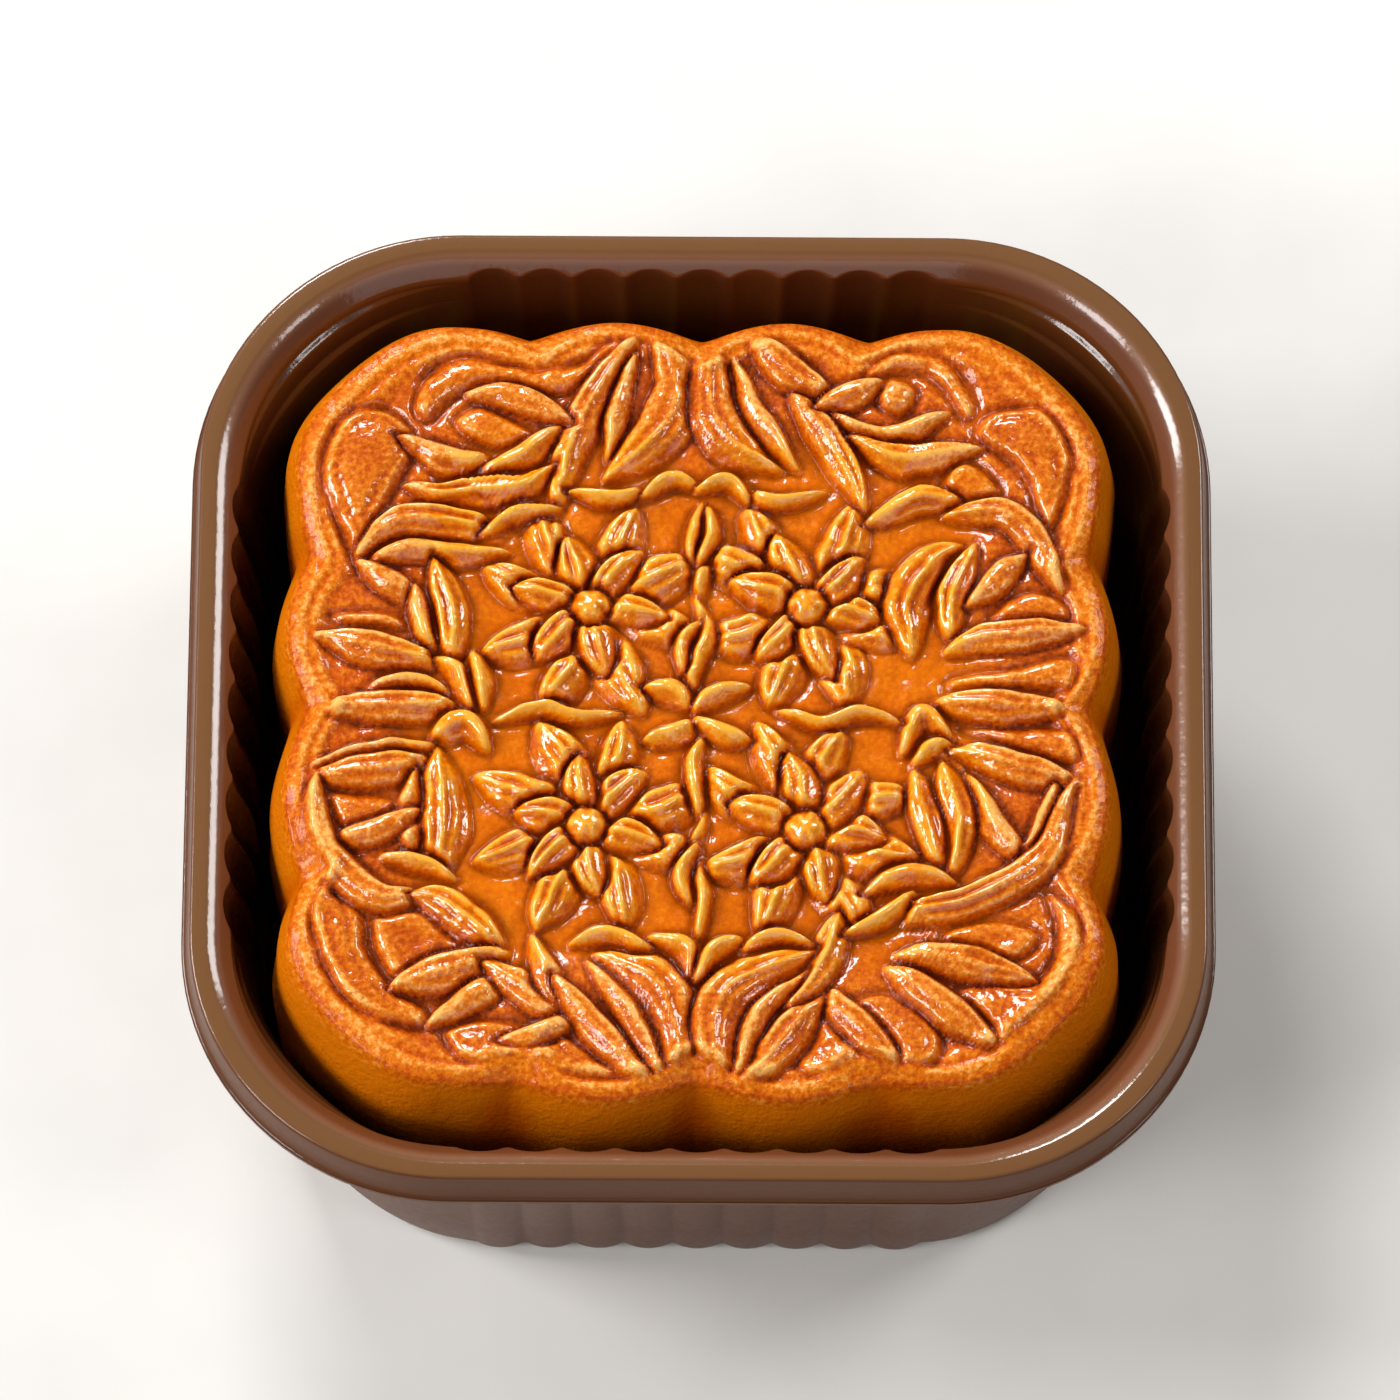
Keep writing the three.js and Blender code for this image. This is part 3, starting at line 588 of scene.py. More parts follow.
# %% The height of the top
GROUND, OUTER_RISE = 33.85, 0.66
ZONE_OUT, ZONE_IN = 7.5, 12.5  # the ground rises between these distances from the outline
OUTER_SHARE, LOW_FORM = 0.5, 0.85  # forms over that height are flatter by that share near the rim
NOTCH_IN = 0.9
CREST_IN, CREST_REACH, CREST_FALL = 1.7, 3.3, 2.5
CREST_LINES = ((0.14, 0.95, 0.32), (-0.2, 1.6, 0.3))
FORMS_IN, TOP_LIMIT = 0.9, 36.1  # forms start this far in, and the highest point
BAND_IN, BAND_EASE = 1.9, 1.3  # where the shoulder passes into the ground, and over what width
GROUND_WAVES = ((0.12, 3.1, 31), (0.1, 1.3, 32))
ZONE_WAVES, SHOULDER_WAVES = ((1.2, 5.0, 41),), ((0.06, 1.1, 51),)


def shoulder_height(inwards):
    """The border's section: it falls off in a quarter of an ellipse, with a faint line on it."""
    fall = np.clip((CREST_IN - inwards) / CREST_REACH, 0, 1)
    crest = RIM_TOP + fine_lines(inwards, CREST_LINES)
    return crest - CREST_FALL * (1 - np.sqrt(1 - fall ** 2))


def inside_border(x, y):
    """How far a point lies inside the lobed border, in millimetres."""
    angle = np.arctan2(y, x)
    return (1 - np.hypot(x, y) / cake_radius(angle)) * CAKE_HALF - NOTCH_IN * notch_at(angle)


def top_height(x, y):
    """The finished height, and how far a point belongs to the outer zone (0 to 1)."""
    inwards = inside_border(x, y)
    zone = ease((waves(x, y, ZONE_WAVES, ZONE_IN) - inwards) / (ZONE_IN - ZONE_OUT))
    raised = relief_at(x, y)
    flatter = LOW_FORM + (raised - LOW_FORM) * (1 - OUTER_SHARE * zone)
    raised = np.where(raised > LOW_FORM, flatter, raised)
    ground = GROUND + OUTER_RISE * zone + waves(x, y, GROUND_WAVES)
    shoulder = waves(x, y, SHOULDER_WAVES, shoulder_height(inwards))
    share = ease((inwards - BAND_IN) / BAND_EASE)
    plain = shoulder * (1 - share) + ground * share
    return np.minimum(plain + raised * ease(inwards - FORMS_IN), TOP_LIMIT), zone


def soften(grid, rounds):
    for _ in range(rounds):
        p = np.pad(grid, 1, mode="edge")
        grid = (4 * grid + 2 * (p[:-2, 1:-1] + p[2:, 1:-1] + p[1:-1, :-2] + p[1:-1, 2:])
                + p[:-2, :-2] + p[2:, 2:] + p[:-2, 2:] + p[2:, :-2]) / 16
    return grid


# %% [markdown]
# ## The cake
#
# A flat grid becomes the top. Its square rings are pushed out to the lobed outline, the height is
# added, and the border is extruded down in steps for the side, each step scaled to the belly's
# curve. The grid is fine, about a quarter of a millimetre, because the relief has to be real
# shape: bump alone gives no outline and no shadow.

# %% Make the cake
GRID = 280
# Height of each ring of the side, and how far it stands out from the outline.
SIDE_PROFILE = [(34.3, 0.2), (33.7, 0.44), (32.9, 0.72), (31.8, 1.06), (30.0, 1.36), (27.6, 1.58),
                (24.8, 1.7), (21.6, 1.74), (18.0, 1.7), (14.4, 1.6), (10.8, 1.44), (7.6, 1.2),
                (4.8, 0.8), (2.8, 0.25), (1.5, -0.65), (0.8, -1.75), (CAKE_FOOT, -3.25)]

bpy.ops.mesh.primitive_grid_add(x_subdivisions=GRID, y_subdivisions=GRID, size=2)
cake = bpy.context.object
cake.name = cake.data.name = "mooncake_crust"
bpy.ops.object.mode_set(mode="EDIT")
bpy.ops.mesh.select_mode(type="EDGE")
bpy.ops.mesh.select_all(action="DESELECT")
bpy.ops.mesh.select_non_manifold()
extrude_rings(len(SIDE_PROFILE))
points = points_of(cake)
level = ring_numbers(points)
on_top = level == 0
print("cake:", len(points), "points,", on_top.sum(), "of them on the top")

# %% [markdown]
# Each point of the top gets the mean of four heights close round it, and a little of its
# neighbours' heights. That keeps a narrow groove from breaking up into steps.

# %% Press the relief into the top
SMOOTHING = 0.4
u, v = points[on_top, 0], points[on_top, 1]
order = np.lexsort((u.round(5), v.round(5)))
angle = np.arctan2(v, u)
reach = cake_radius(angle) * np.maximum(np.abs(u), np.abs(v))
px, py = reach * np.cos(angle), reach * np.sin(angle)
shift = 0.25 * 2 * CAKE_HALF / GRID  # a quarter of the grid's spacing
pressed = sum(top_height(px + dx, py + dy)[0]
              for dx in (-shift, shift) for dy in (-shift, shift)) / 4
zone = top_height(px, py)[1]
grid_z = pressed[order].reshape(GRID + 1, GRID + 1)
grid_z = (1 - SMOOTHING) * grid_z + SMOOTHING * soften(grid_z, 1)
top_z = np.empty(len(u))
top_z[order] = grid_z.ravel()
print("top: %.2f to %.2f mm high" % (top_z.min(), top_z.max()))

# %% [markdown]
# The side bellies out below the rim, because the dough sinks in the oven. The scallops run down
# it, and it is a little lumpy.

# %% Shape the side, ring by ring
LUMP, LUMP_SIZE, LUMP_TOP, LUMP_EASE = 0.16, 2.3, 34.7, 3.0
DIP_FOOT, DIP_EASE = 22.0, 12.0  # the border's dips at the notches fade out down to that height
side_angle = np.arctan2(points[:, 1], points[:, 0])
border_drop = shoulder_height(np.zeros(1)) - shoulder_height(-NOTCH_IN * notch_at(side_angle))
points[on_top] = np.stack([px, py, top_z], 1)
for number, (ring_z, grow) in enumerate(SIDE_PROFILE, start=1):
    here = level == number
    around = side_angle[here]
    lump = LUMP * smooth_noise(around * 9, np.full(here.sum(), ring_z), LUMP_SIZE, 21)
    radius = cake_radius(around) * (1 + grow / CAKE_HALF)
    radius += lump * min(1, (LUMP_TOP - ring_z) / LUMP_EASE)
    z = ring_z - border_drop[here] * min(1, max(0, (ring_z - DIP_FOOT) / DIP_EASE))
    points[here] = np.stack([radius * np.cos(around), radius * np.sin(around), z], 1)
points[:, :2] += CAKE_SHIFT
set_points(cake, points * MM)
match_normals()
bpy.ops.object.shade_smooth()
print("cake:", count_triangles(cake), "triangles")

# %% [markdown]
# The crust's colour follows the relief: painted shade darkens its creases and painted highlight
# lightens its crests. Four values are stored on the points for the material to read: how far a point
# lies above or below its wide and its close surroundings, how far it belongs to the outer zone, and
# how far to the bare edge that the egg brush missed. On the side, the crease value is painted shade
# in the notches between the lobes.

# %% Store the hollows and zones for the material
WIDE_ROUNDS, CLOSE_ROUNDS = 32, 5
BARE_WIDTH, BARE_EASE, BARE_WAVES = 3.6, 2.6, ((1.0, 3.0, 61),)
# painted shade in the notches of the side, stored as their crease value
NOTCH_SHADE = -0.22
wide_hollow = grid_z - soften(grid_z, WIDE_ROUNDS)
close_hollow = grid_z - soften(grid_z, CLOSE_ROUNDS)
bare = ease((waves(px, py, BARE_WAVES, BARE_WIDTH) - inside_border(px, py)) / BARE_EASE)
top_values = {"cavity": wide_hollow.ravel(), "crease": close_hollow.ravel(), "outer": zone[order],
              "bare": bare[order]}
side_values = {"cavity": 0.0, "crease": NOTCH_SHADE * notch_at(side_angle), "outer": 1.0, "bare": 1.0}
for name, grid_values in top_values.items():
    values = np.broadcast_to(side_values[name], len(points)).astype(np.float32)
    on_grid = np.empty(len(u))
    on_grid[order] = grid_values
    values[on_top] = on_grid
    store(cake, name, values)


# %% [markdown]
# ## The tray
#
# A vacuum-formed tray is one sheet that runs from the rolled lip, up the skirt, over the flange,
# down a shoulder and the fluted wall, and across the floor. So it starts as a ring of edges,
# which is extruded once for each station of that path and closed with a face for the floor. The
# thickness comes last, from Solidify. The flutes stiffen the wall: shallow channels with a narrow
# rib between them, which run out in arches against the sloping shoulder. The corners have no
# flutes, but two faint steps that fade out to both sides.

# %% Rings of the tray
PER_FLUTE, PER_CORNER = 14, 24
RIB = 0.13  # least bulge of a flute, so that a rib is left instead of a sharp crease
STEP_POWER = 1.5  # how a step fades out to both sides of a corner
FLUTE_RADIUS = (FLUTE_PITCH ** 2 / 4 + FLUTE_DEPTH ** 2) / (2 * FLUTE_DEPTH)


def tray_ring(half, corner, least=0.0, step_in=0.0):
    """A square with round corners. Its sides bulge in flutes where those reach past `least`."""
    straight = half - corner
    part = np.arange(FLUTES * PER_FLUTE) / (FLUTES * PER_FLUTE)
    off = ((part * FLUTES) % 1 - 0.5) * FLUTE_PITCH
    bulge = np.maximum(np.sqrt(FLUTE_RADIUS ** 2 - off ** 2) - (FLUTE_RADIUS - FLUTE_DEPTH), RIB)
    out_to = np.maximum(least, half + bulge) if least else np.full(len(part), half)
    side = np.stack([out_to, straight * (2 * part - 1)], 1)
    turn = np.arange(PER_CORNER) / PER_CORNER * math.pi / 2
    around_corner = max(half, least) - straight - step_in * np.sin(2 * turn) ** STEP_POWER
    arc = straight + around_corner[:, None] * np.stack([np.cos(turn), np.sin(turn)], 1)
    return np.concatenate([turned(np.concatenate([side, arc]), quarter) for quarter in range(4)])


def arc_steps(count):
    """Cosine and sine at even steps of a quarter turn."""
    return [(math.cos(k * math.pi / 2 / count), math.sin(k * math.pi / 2 / count))
            for k in range(count + 1)]


# %% [markdown]
# The sheet doesn't turn down sharply at the flange's inner edge: it leans over in a row of small
# bends, which catch the light as a soft line. They run parallel to the wall, so that the corners
# bend like the sides.

# %% Stations from the lip to the flange's inner edge
# Each is a half width, a corner radius and a height, then the shoulder's half width where there
# are flutes, and how far the corner steps in.
LIP_CORNER, LIP_INNER, LIP_BEND = 0.8, 0.45, 0.3  # how much rounder its corners are, its bend
SKIRT_AT, SKIRT_OUT = 1.9, 0.2  # how far below and outside the flange the skirt has its station
OUTER_ROUND, FLAT_DROP = 0.32, 0.03
WALL_TOP, WALL_LOW_TOP = 39.2, 38.25  # half width at the creases, and of the wall's lower line
FLAT_END = 41.3
EDGE_BENDS = [(0.05, 6), (0.05, 15), (0.2, 23), (0.2, 26), (0.2, 29), (0.2, 33), (0.2, 38),
              (0.26, 43)]  # run in millimetres and tilt in degrees
skirt_foot, skirt_z = FLANGE_HALF + SKIRT_FLARE, TRAY_HEIGHT - SKIRT_DROP
stations = [(skirt_foot + LIP, FLANGE_CORNER + LIP_CORNER, skirt_z)]
for c, s in arc_steps(2):
    out = LIP_BEND * (1 - s)
    stations.append((skirt_foot + out, FLANGE_CORNER + LIP_INNER + out, skirt_z + LIP_BEND * (1 - c)))
stations.append((FLANGE_HALF + SKIRT_OUT, FLANGE_CORNER + SKIRT_OUT, TRAY_HEIGHT - SKIRT_AT))
for c, s in arc_steps(4):
    stations.append((FLANGE_HALF - OUTER_ROUND * (1 - c), FLANGE_CORNER - SKIRT_OUT,
                     TRAY_HEIGHT - OUTER_ROUND * (1 - s)))
straight = WALL_TOP * (1 - CUP_CORNER / CUP_HALF)
stations.append((FLAT_END, FLAT_END - straight, TRAY_HEIGHT - FLAT_DROP))
for run, tilt in EDGE_BENDS:
    half, z = stations[-1][0] - run, stations[-1][2] - run * math.tan(math.radians(tilt))
    stations.append((half, half - straight, z))
print("stations down to the shoulder:", len(stations))

# %% [markdown]
# Below that edge, the shoulder slopes at 45 degrees until the flutes cut through it. The wall
# leans outwards twice: slightly all the way up, and more near the top.

# %% Stations down the wall and into the floor
SHOULDER_HALF, _, SHOULDER_TOP = stations[-1]
SHOULDER_FOOT, SHOULDER_RINGS, FIRST_DROP = 32.4, 13, 0.06
LEAN_FOOT, LEAN_RISE = 21, 11  # where the upper wall starts to lean out, and over what height
CORNER_STEPS, STEP_RISE = [(31.2, 0.6), (28.4, 0.5)], 0.5  # height and how far in, over that rise
FLOOR_RING, RING_CORNER = 6, 14.5  # a last ring, that far in from the wall, and its corner
wall_foot = SHEET + FLOOR_ROUND


def wall_station(z, half):
    shoulder = max(SHOULDER_HALF - (SHOULDER_TOP - z), half)
    step_in = sum(depth * float(ease((at - z) / STEP_RISE + 0.5)) for at, depth in CORNER_STEPS)
    return half, half * CUP_CORNER / CUP_HALF, z, shoulder, step_in


def wall_half(z):
    lower = FLOOR_HALF + (WALL_LOW_TOP - FLOOR_HALF) * (z - wall_foot) / (SHOULDER_TOP - wall_foot)
    return lower + (WALL_TOP - WALL_LOW_TOP) * float(ease((z - LEAN_FOOT) / LEAN_RISE))


wall_levels = set(np.linspace(SHOULDER_TOP - FIRST_DROP, SHOULDER_FOOT, SHOULDER_RINGS).round(3))
wall_levels |= {27.0, 25.0, 23.0, 21.0, 17.5, 14.0, 10.0, 6.0, wall_foot}
for at, _ in CORNER_STEPS:
    for off in (0.5, 0.36, 0.23, 0.08):
        wall_levels |= {round(at + STEP_RISE * off, 3), round(at - STEP_RISE * off, 3)}
for z in sorted(wall_levels, reverse=True):
    stations.append(wall_station(z, wall_half(z)))
deep = sum(depth for _, depth in CORNER_STEPS)
for c, s in arc_steps(4)[1:]:
    half = FLOOR_HALF - FLOOR_ROUND * (1 - c)
    stations.append((half, half * CUP_CORNER / CUP_HALF, wall_foot - FLOOR_ROUND * s, half, deep * c))
stations.append((FLOOR_HALF - FLOOR_RING, RING_CORNER, SHEET))
print("stations in all:", len(stations))

# %% Draw the sheet
around = 4 * (FLUTES * PER_FLUTE + PER_CORNER)
bpy.ops.mesh.primitive_circle_add(vertices=around, radius=1, fill_type="NOTHING")
tray = bpy.context.object
tray.name = tray.data.name = "tray_sheet"
bpy.ops.object.mode_set(mode="EDIT")
bpy.ops.mesh.select_mode(type="EDGE")
bpy.ops.mesh.select_all(action="SELECT")
extrude_rings(len(stations) - 1)
points = points_of(tray)
level = ring_numbers(points)
place = np.arctan2(points[:, 1], points[:, 0]) / (2 * math.pi) * around
place = np.round(place).astype(int) % around
for number, (half, corner, ring_z, *wall) in enumerate(stations):
    here = level == number
    points[here, :2] = tray_ring(half, corner, *wall)[place[here]]
    points[here, 2] = ring_z
set_points(tray, points * MM)
print("tray:", len(points), "points round", around)

# %% [markdown]
# Solidify adds the thickness behind the faces. The drawn shape is the cup's inside, so the faces
# have to look up before the sheet grows thick below them.

# %% Give the sheet its thickness
match_normals()
up = sum(face.normal.z * face.area for face in tray.data.polygons)
if up < 0:
    tray.data.flip_normals()
thickness = tray.modifiers.new("Thickness", "SOLIDIFY")
thickness.thickness, thickness.offset = SHEET * MM, -1
bpy.ops.object.modifier_apply(modifier=thickness.name)
bpy.ops.object.shade_smooth_by_angle(angle=math.radians(50))
print("tray:", count_triangles(tray), "triangles")

# %% [markdown]
# The sheet's outside touched the form and took its dull skin, while the side towards the cake
# stayed free and glossy. Each point stores how far it faces away from the tray's middle, so that
# the material can tell the two apart.

# %% Store which points face outwards
points = points_of(tray)
normals = np.zeros(points.size)
tray.data.vertices.foreach_get("normal", normals)
outwards = (normals.reshape(-1, 3)[:, :2] * points[:, :2]).sum(1)
outside = ease((outwards / np.hypot(points[:, 0], points[:, 1]) - 0.2) / 0.5).astype(np.float32)
store(tray, "outside", outside)


# %% [markdown]
# ## Materials
#
# One function adds a node with its settings and its links, and another turns a colour written as
# sRGB hex, as a paint chart gives it, to the linear values that Blender works with.

# %% Helpers for materials
def linear(code):
    """An sRGB hex colour as linear red, green, blue and alpha."""
    parts = [int(code[k:k + 2], 16) / 255 for k in (1, 3, 5)]
    return [c / 12.92 if c <= 0.04045 else ((c + 0.055) / 1.055) ** 2.4 for c in parts] + [1.0]


def link(tree, made, links):
    """Links a node's sockets, each from another node's first output or from the one named."""
    sockets = {socket.identifier: socket for socket in made.inputs}
    for name, source in links.items():
        node, output = source if isinstance(source, tuple) else (source, None)
        found = [socket for socket in node.outputs if output in (None, socket.identifier)]
        tree.links.new(found[0], sockets[name])


def add(tree, kind, settings=None, links=None):
    """Adds a node of that kind. Settings are its properties, sockets or ramp stops."""
    made = tree.nodes.new("ShaderNode" + kind)
    for name, value in (settings or {}).items():
        sockets = {socket.identifier: socket for socket in made.inputs}
        if name == "stops":
            ramp = made.color_ramp.elements
            while len(ramp) < len(value):
                ramp.new(1.0)
            for stop, (place_at, code) in zip(ramp, value):
                stop.position, stop.color = place_at, linear(code)
        elif name in sockets:
            sockets[name].default_value = value
        else:
            setattr(made, name, value)
    link(tree, made, links or {})
    return made


def new_material(name):
    """A material, its tree and surface shader, and the place of a point on the object."""
    material = bpy.data.materials.new(name)
    material.use_nodes = True
    tree = material.node_tree
    tree.nodes.clear()
    shader = add(tree, "BsdfPrincipled")
    add(tree, "OutputMaterial", links={"Surface": shader})
    return material, tree, shader, (add(tree, "TexCoord"), "Object")


def set_sockets(shader, **values):
    for name, value in values.items():
        shader.inputs[name.replace("_", " ")].default_value = value


# %% [markdown]
# ### Baked, egg-glazed crust
#
# Golden syrup dough browns as it bakes, most where the egg glaze gathers. On top of that the colour
# follows the relief: painted shade makes the creases a deep red-brown, and painted highlight makes
# the crests a pale orange. So the values stored on the points, with some patchy noise, place each
# point on a scale from dark red-brown to pale orange. That scale is coloured twice: clear gold for
# the middle, where the glaze is thick, and russet for the outer zone.

# %% Crust colour on the top
FLAT_TONE, PATCH, GRAIN = 0.35, 7, 0.5  # the tone of flat ground, and the noise in millimetres
# the lowest stops are painted shade in the creases, the highest painted highlight on the crests
TONES = (0.0, 0.22, 0.46, 0.7, 0.95)
GOLD = ("#5A1600", "#963400", "#C05600", "#DA7E02", "#E8A432")
RUSSET = ("#601A00", "#903600", "#B44A00", "#D0700C", "#ECAA58")

crust, tree, shader, position = new_material("baked_crust")
wide, close, outer, bare = [(add(tree, "Attribute", {"attribute_name": name}), "Fac")
                            for name in ("cavity", "crease", "outer", "bare")]
patches, grain = [add(tree, "TexNoise", {"Scale": 1 / (size * MM), "Detail": 4.0, "Roughness": 0.6},
                      {"Vector": position}) for size in (PATCH, GRAIN)]
speckle = add(tree, "MapRange", {"From Min": 0.36, "From Max": 0.64, "To Min": -0.13, "To Max": 0.13},
              {"Value": grain})
crusty = add(tree, "MapRange", {"To Min": 0.85, "To Max": 1.2}, {"Value": outer})
tone = add(tree, "Math", {"operation": "MULTIPLY_ADD", "Value_002": FLAT_TONE},
           {"Value": speckle, "Value_001": crusty})
# the wide and close hollows add painted shade in the creases and painted highlight on the crests; the
# patches and the bare edge are the crust's own colour
for source, share in ((wide, 0.34), (close, 0.95), (patches, 0.3), (bare, 0.12)):
    tone = add(tree, "Math", {"operation": "MULTIPLY_ADD", "Value_001": share},
               {"Value": source, "Value_002": tone})
gold, russet = [add(tree, "ValToRGB", {"stops": list(zip(TONES, codes))}, {"Fac": tone})
                for codes in (GOLD, RUSSET)]
top_colour = add(tree, "Mix", {"data_type": "RGBA"},
                 {"Factor_Float": outer, "A_Color": gold, "B_Color": russet})

# %% [markdown]
# Below the rim no egg was brushed on. There the crust is a matt ochre, with faint upright bands
# where the mould's flutes rubbed it. Painted shade darkens it towards the foot, deep in the tray,
# and in the notches between the lobes.

# %% Crust colour on the side
height = add(tree, "SeparateXYZ", links={"Vector": position}), "Z"
upright = add(tree, "VectorMath", {"operation": "MULTIPLY", "Vector_001": (1, 1, 0.12)},
              {"Vector": position})
bands = add(tree, "TexNoise", {"Scale": 1 / (3.2 * MM), "Detail": 2.0}, {"Vector": upright})
# painted shade: the side darkens towards its foot, deep in the tray
side_height = add(tree, "MapRange", {"From Min": -6.0 * MM, "From Max": 38.0 * MM}, {"Value": height})
side_tone = add(tree, "Math", {"operation": "MULTIPLY_ADD", "Value_001": 0.5},
                {"Value": bands, "Value_002": side_height})
# painted shade in the notches, from the crease value stored on the side
side_tone = add(tree, "Math", {"operation": "MULTIPLY_ADD", "Value_001": 1.2},
                {"Value": close, "Value_002": side_tone})
ochre = add(tree, "ValToRGB",
            {"stops": [(0.2, "#7A2400"), (0.55, "#A64200"), (0.8, "#B45000"), (1.0, "#C46604")]},
            {"Fac": side_tone})
below_rim = add(tree, "MapRange",
                {"interpolation_type": "SMOOTHSTEP", "From Min": 34.5 * MM, "From Max": 33.0 * MM},
                {"Value": height})
colour = add(tree, "Mix", {"data_type": "RGBA"},
             {"Factor_Float": below_rim, "A_Color": (top_colour, "Result_Color"), "B_Color": ochre})

# %% [markdown]
# The glaze pools in the middle of the cake, so it is wet and wrinkled there. Further out it is a
# thin skin over a fine crumb. A clear coat stands for the glaze: its weight is worked down in the
# outer zone, along the bare edge, in the creases, and to nothing below the rim. Roughness and
# bump say how thick it is.

# %% Crust gloss and fine relief
satin = add(tree, "MapRange", {"To Min": 0.12, "To Max": 0.26}, {"Value": outer})
rough = add(tree, "Math", {"operation": "MULTIPLY_ADD", "Value_001": 0.16},
            {"Value": grain, "Value_002": satin})
glaze = add(tree, "MapRange", {"To Min": 1.0, "To Max": 0.2}, {"Value": bare})
for source, low, high, at_low, at_high in (
        (outer, 0.0, 1.0, 1.0, 0.72), (below_rim, 0.0, 1.0, 1.0, 0.0),
        (close, -0.2, 0.02, 0.15, 1.0)):
    left = add(tree, "MapRange",
               {"From Min": low, "From Max": high, "To Min": at_low, "To Max": at_high},
               {"Value": source})
    glaze = add(tree, "Math", {"operation": "MULTIPLY"}, {"Value": glaze, "Value_001": left})
wrinkles = add(tree, "TexNoise",
               {"Scale": 1 / (1.5 * MM), "Detail": 3.0, "Roughness": 0.55, "Distortion": 0.5},
               {"Vector": position})
wet_bump = add(tree, "Bump", {"Strength": 0.5, "Distance": 0.3 * MM}, {"Height": wrinkles})
crumb = add(tree, "MapRange", {"To Min": 0.35, "To Max": 1.0}, {"Value": outer})
fine_bump = add(tree, "Bump", {"Distance": 0.16 * MM},
                {"Strength": crumb, "Height": grain, "Normal": wet_bump})
link(tree, shader, {"Base Color": (colour, "Result_Color"), "Roughness": rough,
                    "Coat Weight": glaze, "Normal": fine_bump, "Coat Normal": wet_bump})
set_sockets(shader, IOR=1.45, Specular_IOR_Level=0.08, Coat_Roughness=0.07, Coat_IOR=1.7,
            Subsurface_Weight=0.06, Subsurface_Radius=(0.0018, 0.0006, 0.0002), Subsurface_Scale=0.5)
cake.data.materials.append(crust)
print("crust:", len(tree.nodes), "nodes")

# %% [markdown]
# ### Brown polypropylene sheet
#
# Food trays are drawn from a brown sheet with a low shine. The flange, which keeps its full
# thickness, is a warm brown, with painted light as a lighter band at its inner edge. Down the wall
# painted shade darkens the sheet, painted olive light lies on it in upright bands, and near the
# floor painted light makes it lighter again. The outside has a plain brown of its own and nearly
# no shine.

# %% Tray colour
plastic, tree, shader, position = new_material("brown_polypropylene_sheet")
height = add(tree, "SeparateXYZ", links={"Vector": position}), "Z"
down = add(tree, "MapRange", {"From Min": 34.2 * MM, "From Max": 14.2 * MM}, {"Value": height})
# painted light and shade by height: a lighter band at the flange's inner edge, darker down the wall,
# lighter again near the floor
brown = add(tree, "ValToRGB",
            {"stops": [(0.015, "#6B4728"), (0.023, "#785038"), (0.05, "#603620"),
                       (0.15, "#4E2A12"), (0.5, "#40200C"), (0.8, "#7A4018")]}, {"Fac": down})
# painted olive light in upright bands, stronger lower down the wall
stretched = add(tree, "VectorMath", {"operation": "MULTIPLY", "Vector_001": (1, 1, 0.08)},
                {"Vector": position})
streaks = add(tree, "TexNoise", {"Scale": 1 / (4 * MM), "Detail": 2.0}, {"Vector": stretched})
olive_light_bands = add(tree, "MapRange", {"From Min": 0.5, "From Max": 0.68, "To Max": 1.3}, {"Value": streaks})
on_wall = add(tree, "Math", {"operation": "MULTIPLY"}, {"Value": olive_light_bands, "Value_001": down})
sheet_colour = add(tree, "Mix", {"data_type": "RGBA", "B_Color": linear("#4A3406")},
                   {"Factor_Float": on_wall, "A_Color": brown})
faces_out = add(tree, "Attribute", {"attribute_name": "outside"}), "Fac"
plastic_colour = add(tree, "Mix", {"data_type": "RGBA", "B_Color": linear("#5A341C")},
                     {"Factor_Float": faces_out, "A_Color": (sheet_colour, "Result_Color")})

# %% Tray skin
skin = add(tree, "TexNoise", {"Scale": 1 / (0.7 * MM), "Detail": 3.0}, {"Vector": position})
rough = add(tree, "MapRange", {"To Min": 0.3, "To Max": 0.45}, {"Value": skin})
ripple = add(tree, "Bump", {"Strength": 0.2, "Distance": 0.1 * MM}, {"Height": skin})
polish = add(tree, "MapRange", {"To Min": 1.0, "To Max": 0.16}, {"Value": faces_out})
link(tree, shader, {"Base Color": (plastic_colour, "Result_Color"), "Roughness": rough,
                    "Coat Weight": polish, "Normal": ripple, "Coat Normal": ripple})
set_sockets(shader, IOR=1.49, Specular_IOR_Level=0.1, Coat_Roughness=0.13, Coat_IOR=1.52)
tray.data.materials.append(plastic)
print("plastic:", len(tree.nodes), "nodes")

# %% [markdown]
# ## Into the frame
#
# Each piece stands for its solid and rides on the one body.

# %% Tie the pieces to the frame
for piece, node, slot in ((cake, "mooncake", "baked_crust"), (tray, "tray", "brown_plastic")):
    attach(piece, BODY)
    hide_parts(node)
    print(piece.name, "stands for", node)

# %% [markdown]
# ## Floor, light and camera
#
# The cake stands on pale paper, which throws a little light back at its foot.

# %% Floor
bpy.ops.mesh.primitive_plane_add(size=3, location=(0, 0, 0))
floor = bpy.context.object
floor.name = "studio_floor"
paper, tree, shader, position = new_material("pale_paper")
# Clouds of pulp about 17 mm across.
pulp = add(tree, "TexNoise", {"Scale": 60.0, "Detail": 3.0}, {"Vector": position})
tint = add(tree, "ValToRGB", {"stops": [(0.3, "#D6D3CF"), (0.7, "#DCD9D5")]}, {"Fac": pulp})
link(tree, shader, {"Base Color": tint})
set_sockets(shader, Roughness=0.8)
floor.data.materials.append(paper)


# %% [markdown]
# Soft windows stand low round the cake, strongest at the left and behind it. None stands where
# the flat ground between the forms would mirror it, so the ground keeps its full colour and only
# the slopes shine. The two small ones in front light the corners of the flange, and a weak broad
# one opens the shadows.

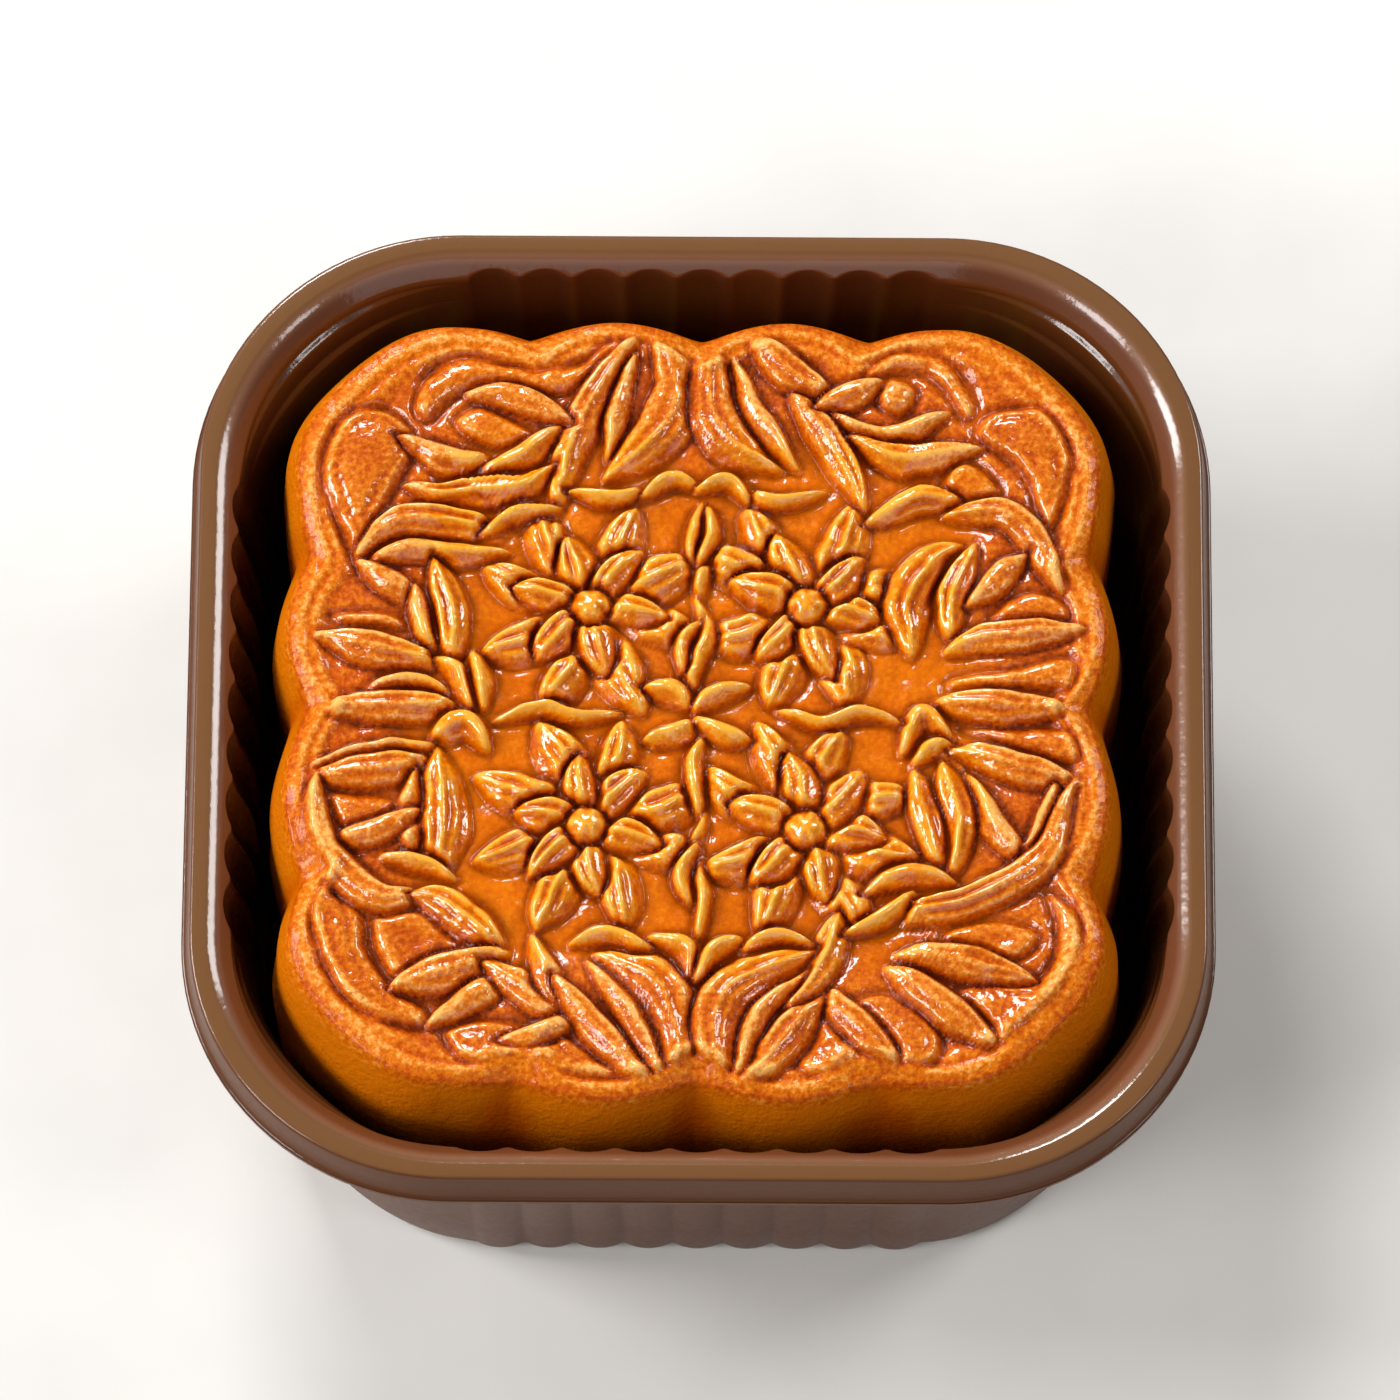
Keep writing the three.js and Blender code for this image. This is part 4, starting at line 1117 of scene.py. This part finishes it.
# %% Lights
# place in metres, size in metres, power in watts
WINDOWS = {"window_left": ((-0.85, 0.15, 0.6), 0.36, 8.1), "window_back": ((-0.25, 0.79, 0.68), 0.3, 7.6),
           "window_right": ((0.7, 0.4, 0.6), 0.3, 3.7),
           "window_front_left": ((-0.66, -0.36, 0.66), 0.32, 4.3),
           "window_front_right": ((0.66, -0.3, 0.68), 0.2, 1.1),
           "low_front_fill": ((0.3, -0.9, 0.55), 0.8, 1.8)}
LIT_POINT = mathutils.Vector((0, 0, 0.03))
for name, (place_at, size, watts) in WINDOWS.items():
    data = bpy.data.lights.new(name, "AREA")
    data.shape, data.size, data.energy = "SQUARE", size, watts
    lamp = bpy.data.objects.new(name, data)
    bpy.context.scene.collection.objects.link(lamp)
    lamp.location = place_at
    to_aim = LIT_POINT - mathutils.Vector(place_at)
    lamp.rotation_euler = to_aim.to_track_quat("-Z", "Y").to_euler()
world = bpy.data.worlds.new("studio_air")
world.use_nodes = True
world.node_tree.nodes["Background"].inputs["Color"].default_value = (1.0, 0.97, 0.94, 1)
world.node_tree.nodes["Background"].inputs["Strength"].default_value = 0.1
bpy.context.scene.world = world
bpy.context.scene.view_settings.view_transform = "Standard"
print(len(WINDOWS), "lights")

# %% [markdown]
# The camera looks down steeply with a long lens, which keeps the sides of the square nearly
# parallel.

# %% Camera
ELEVATION, TURN = math.radians(69.1), math.radians(0.36)
DISTANCE, LENS = 0.911, 278.0
AIM = mathutils.Vector((0, 0, TRAY_HEIGHT * MM))
lens = bpy.data.cameras.new("camera")
lens.lens, lens.sensor_width = LENS, 36.0
lens.clip_start, lens.clip_end = 0.01, 20.0
camera = bpy.data.objects.new("camera", lens)
bpy.context.scene.collection.objects.link(camera)
back = mathutils.Vector((math.sin(TURN) * math.cos(ELEVATION),
                         -math.cos(TURN) * math.cos(ELEVATION), math.sin(ELEVATION)))
camera.location = AIM + DISTANCE * back
camera.rotation_euler = (-back).to_track_quat("-Z", "Y").to_euler()
bpy.context.scene.camera = camera
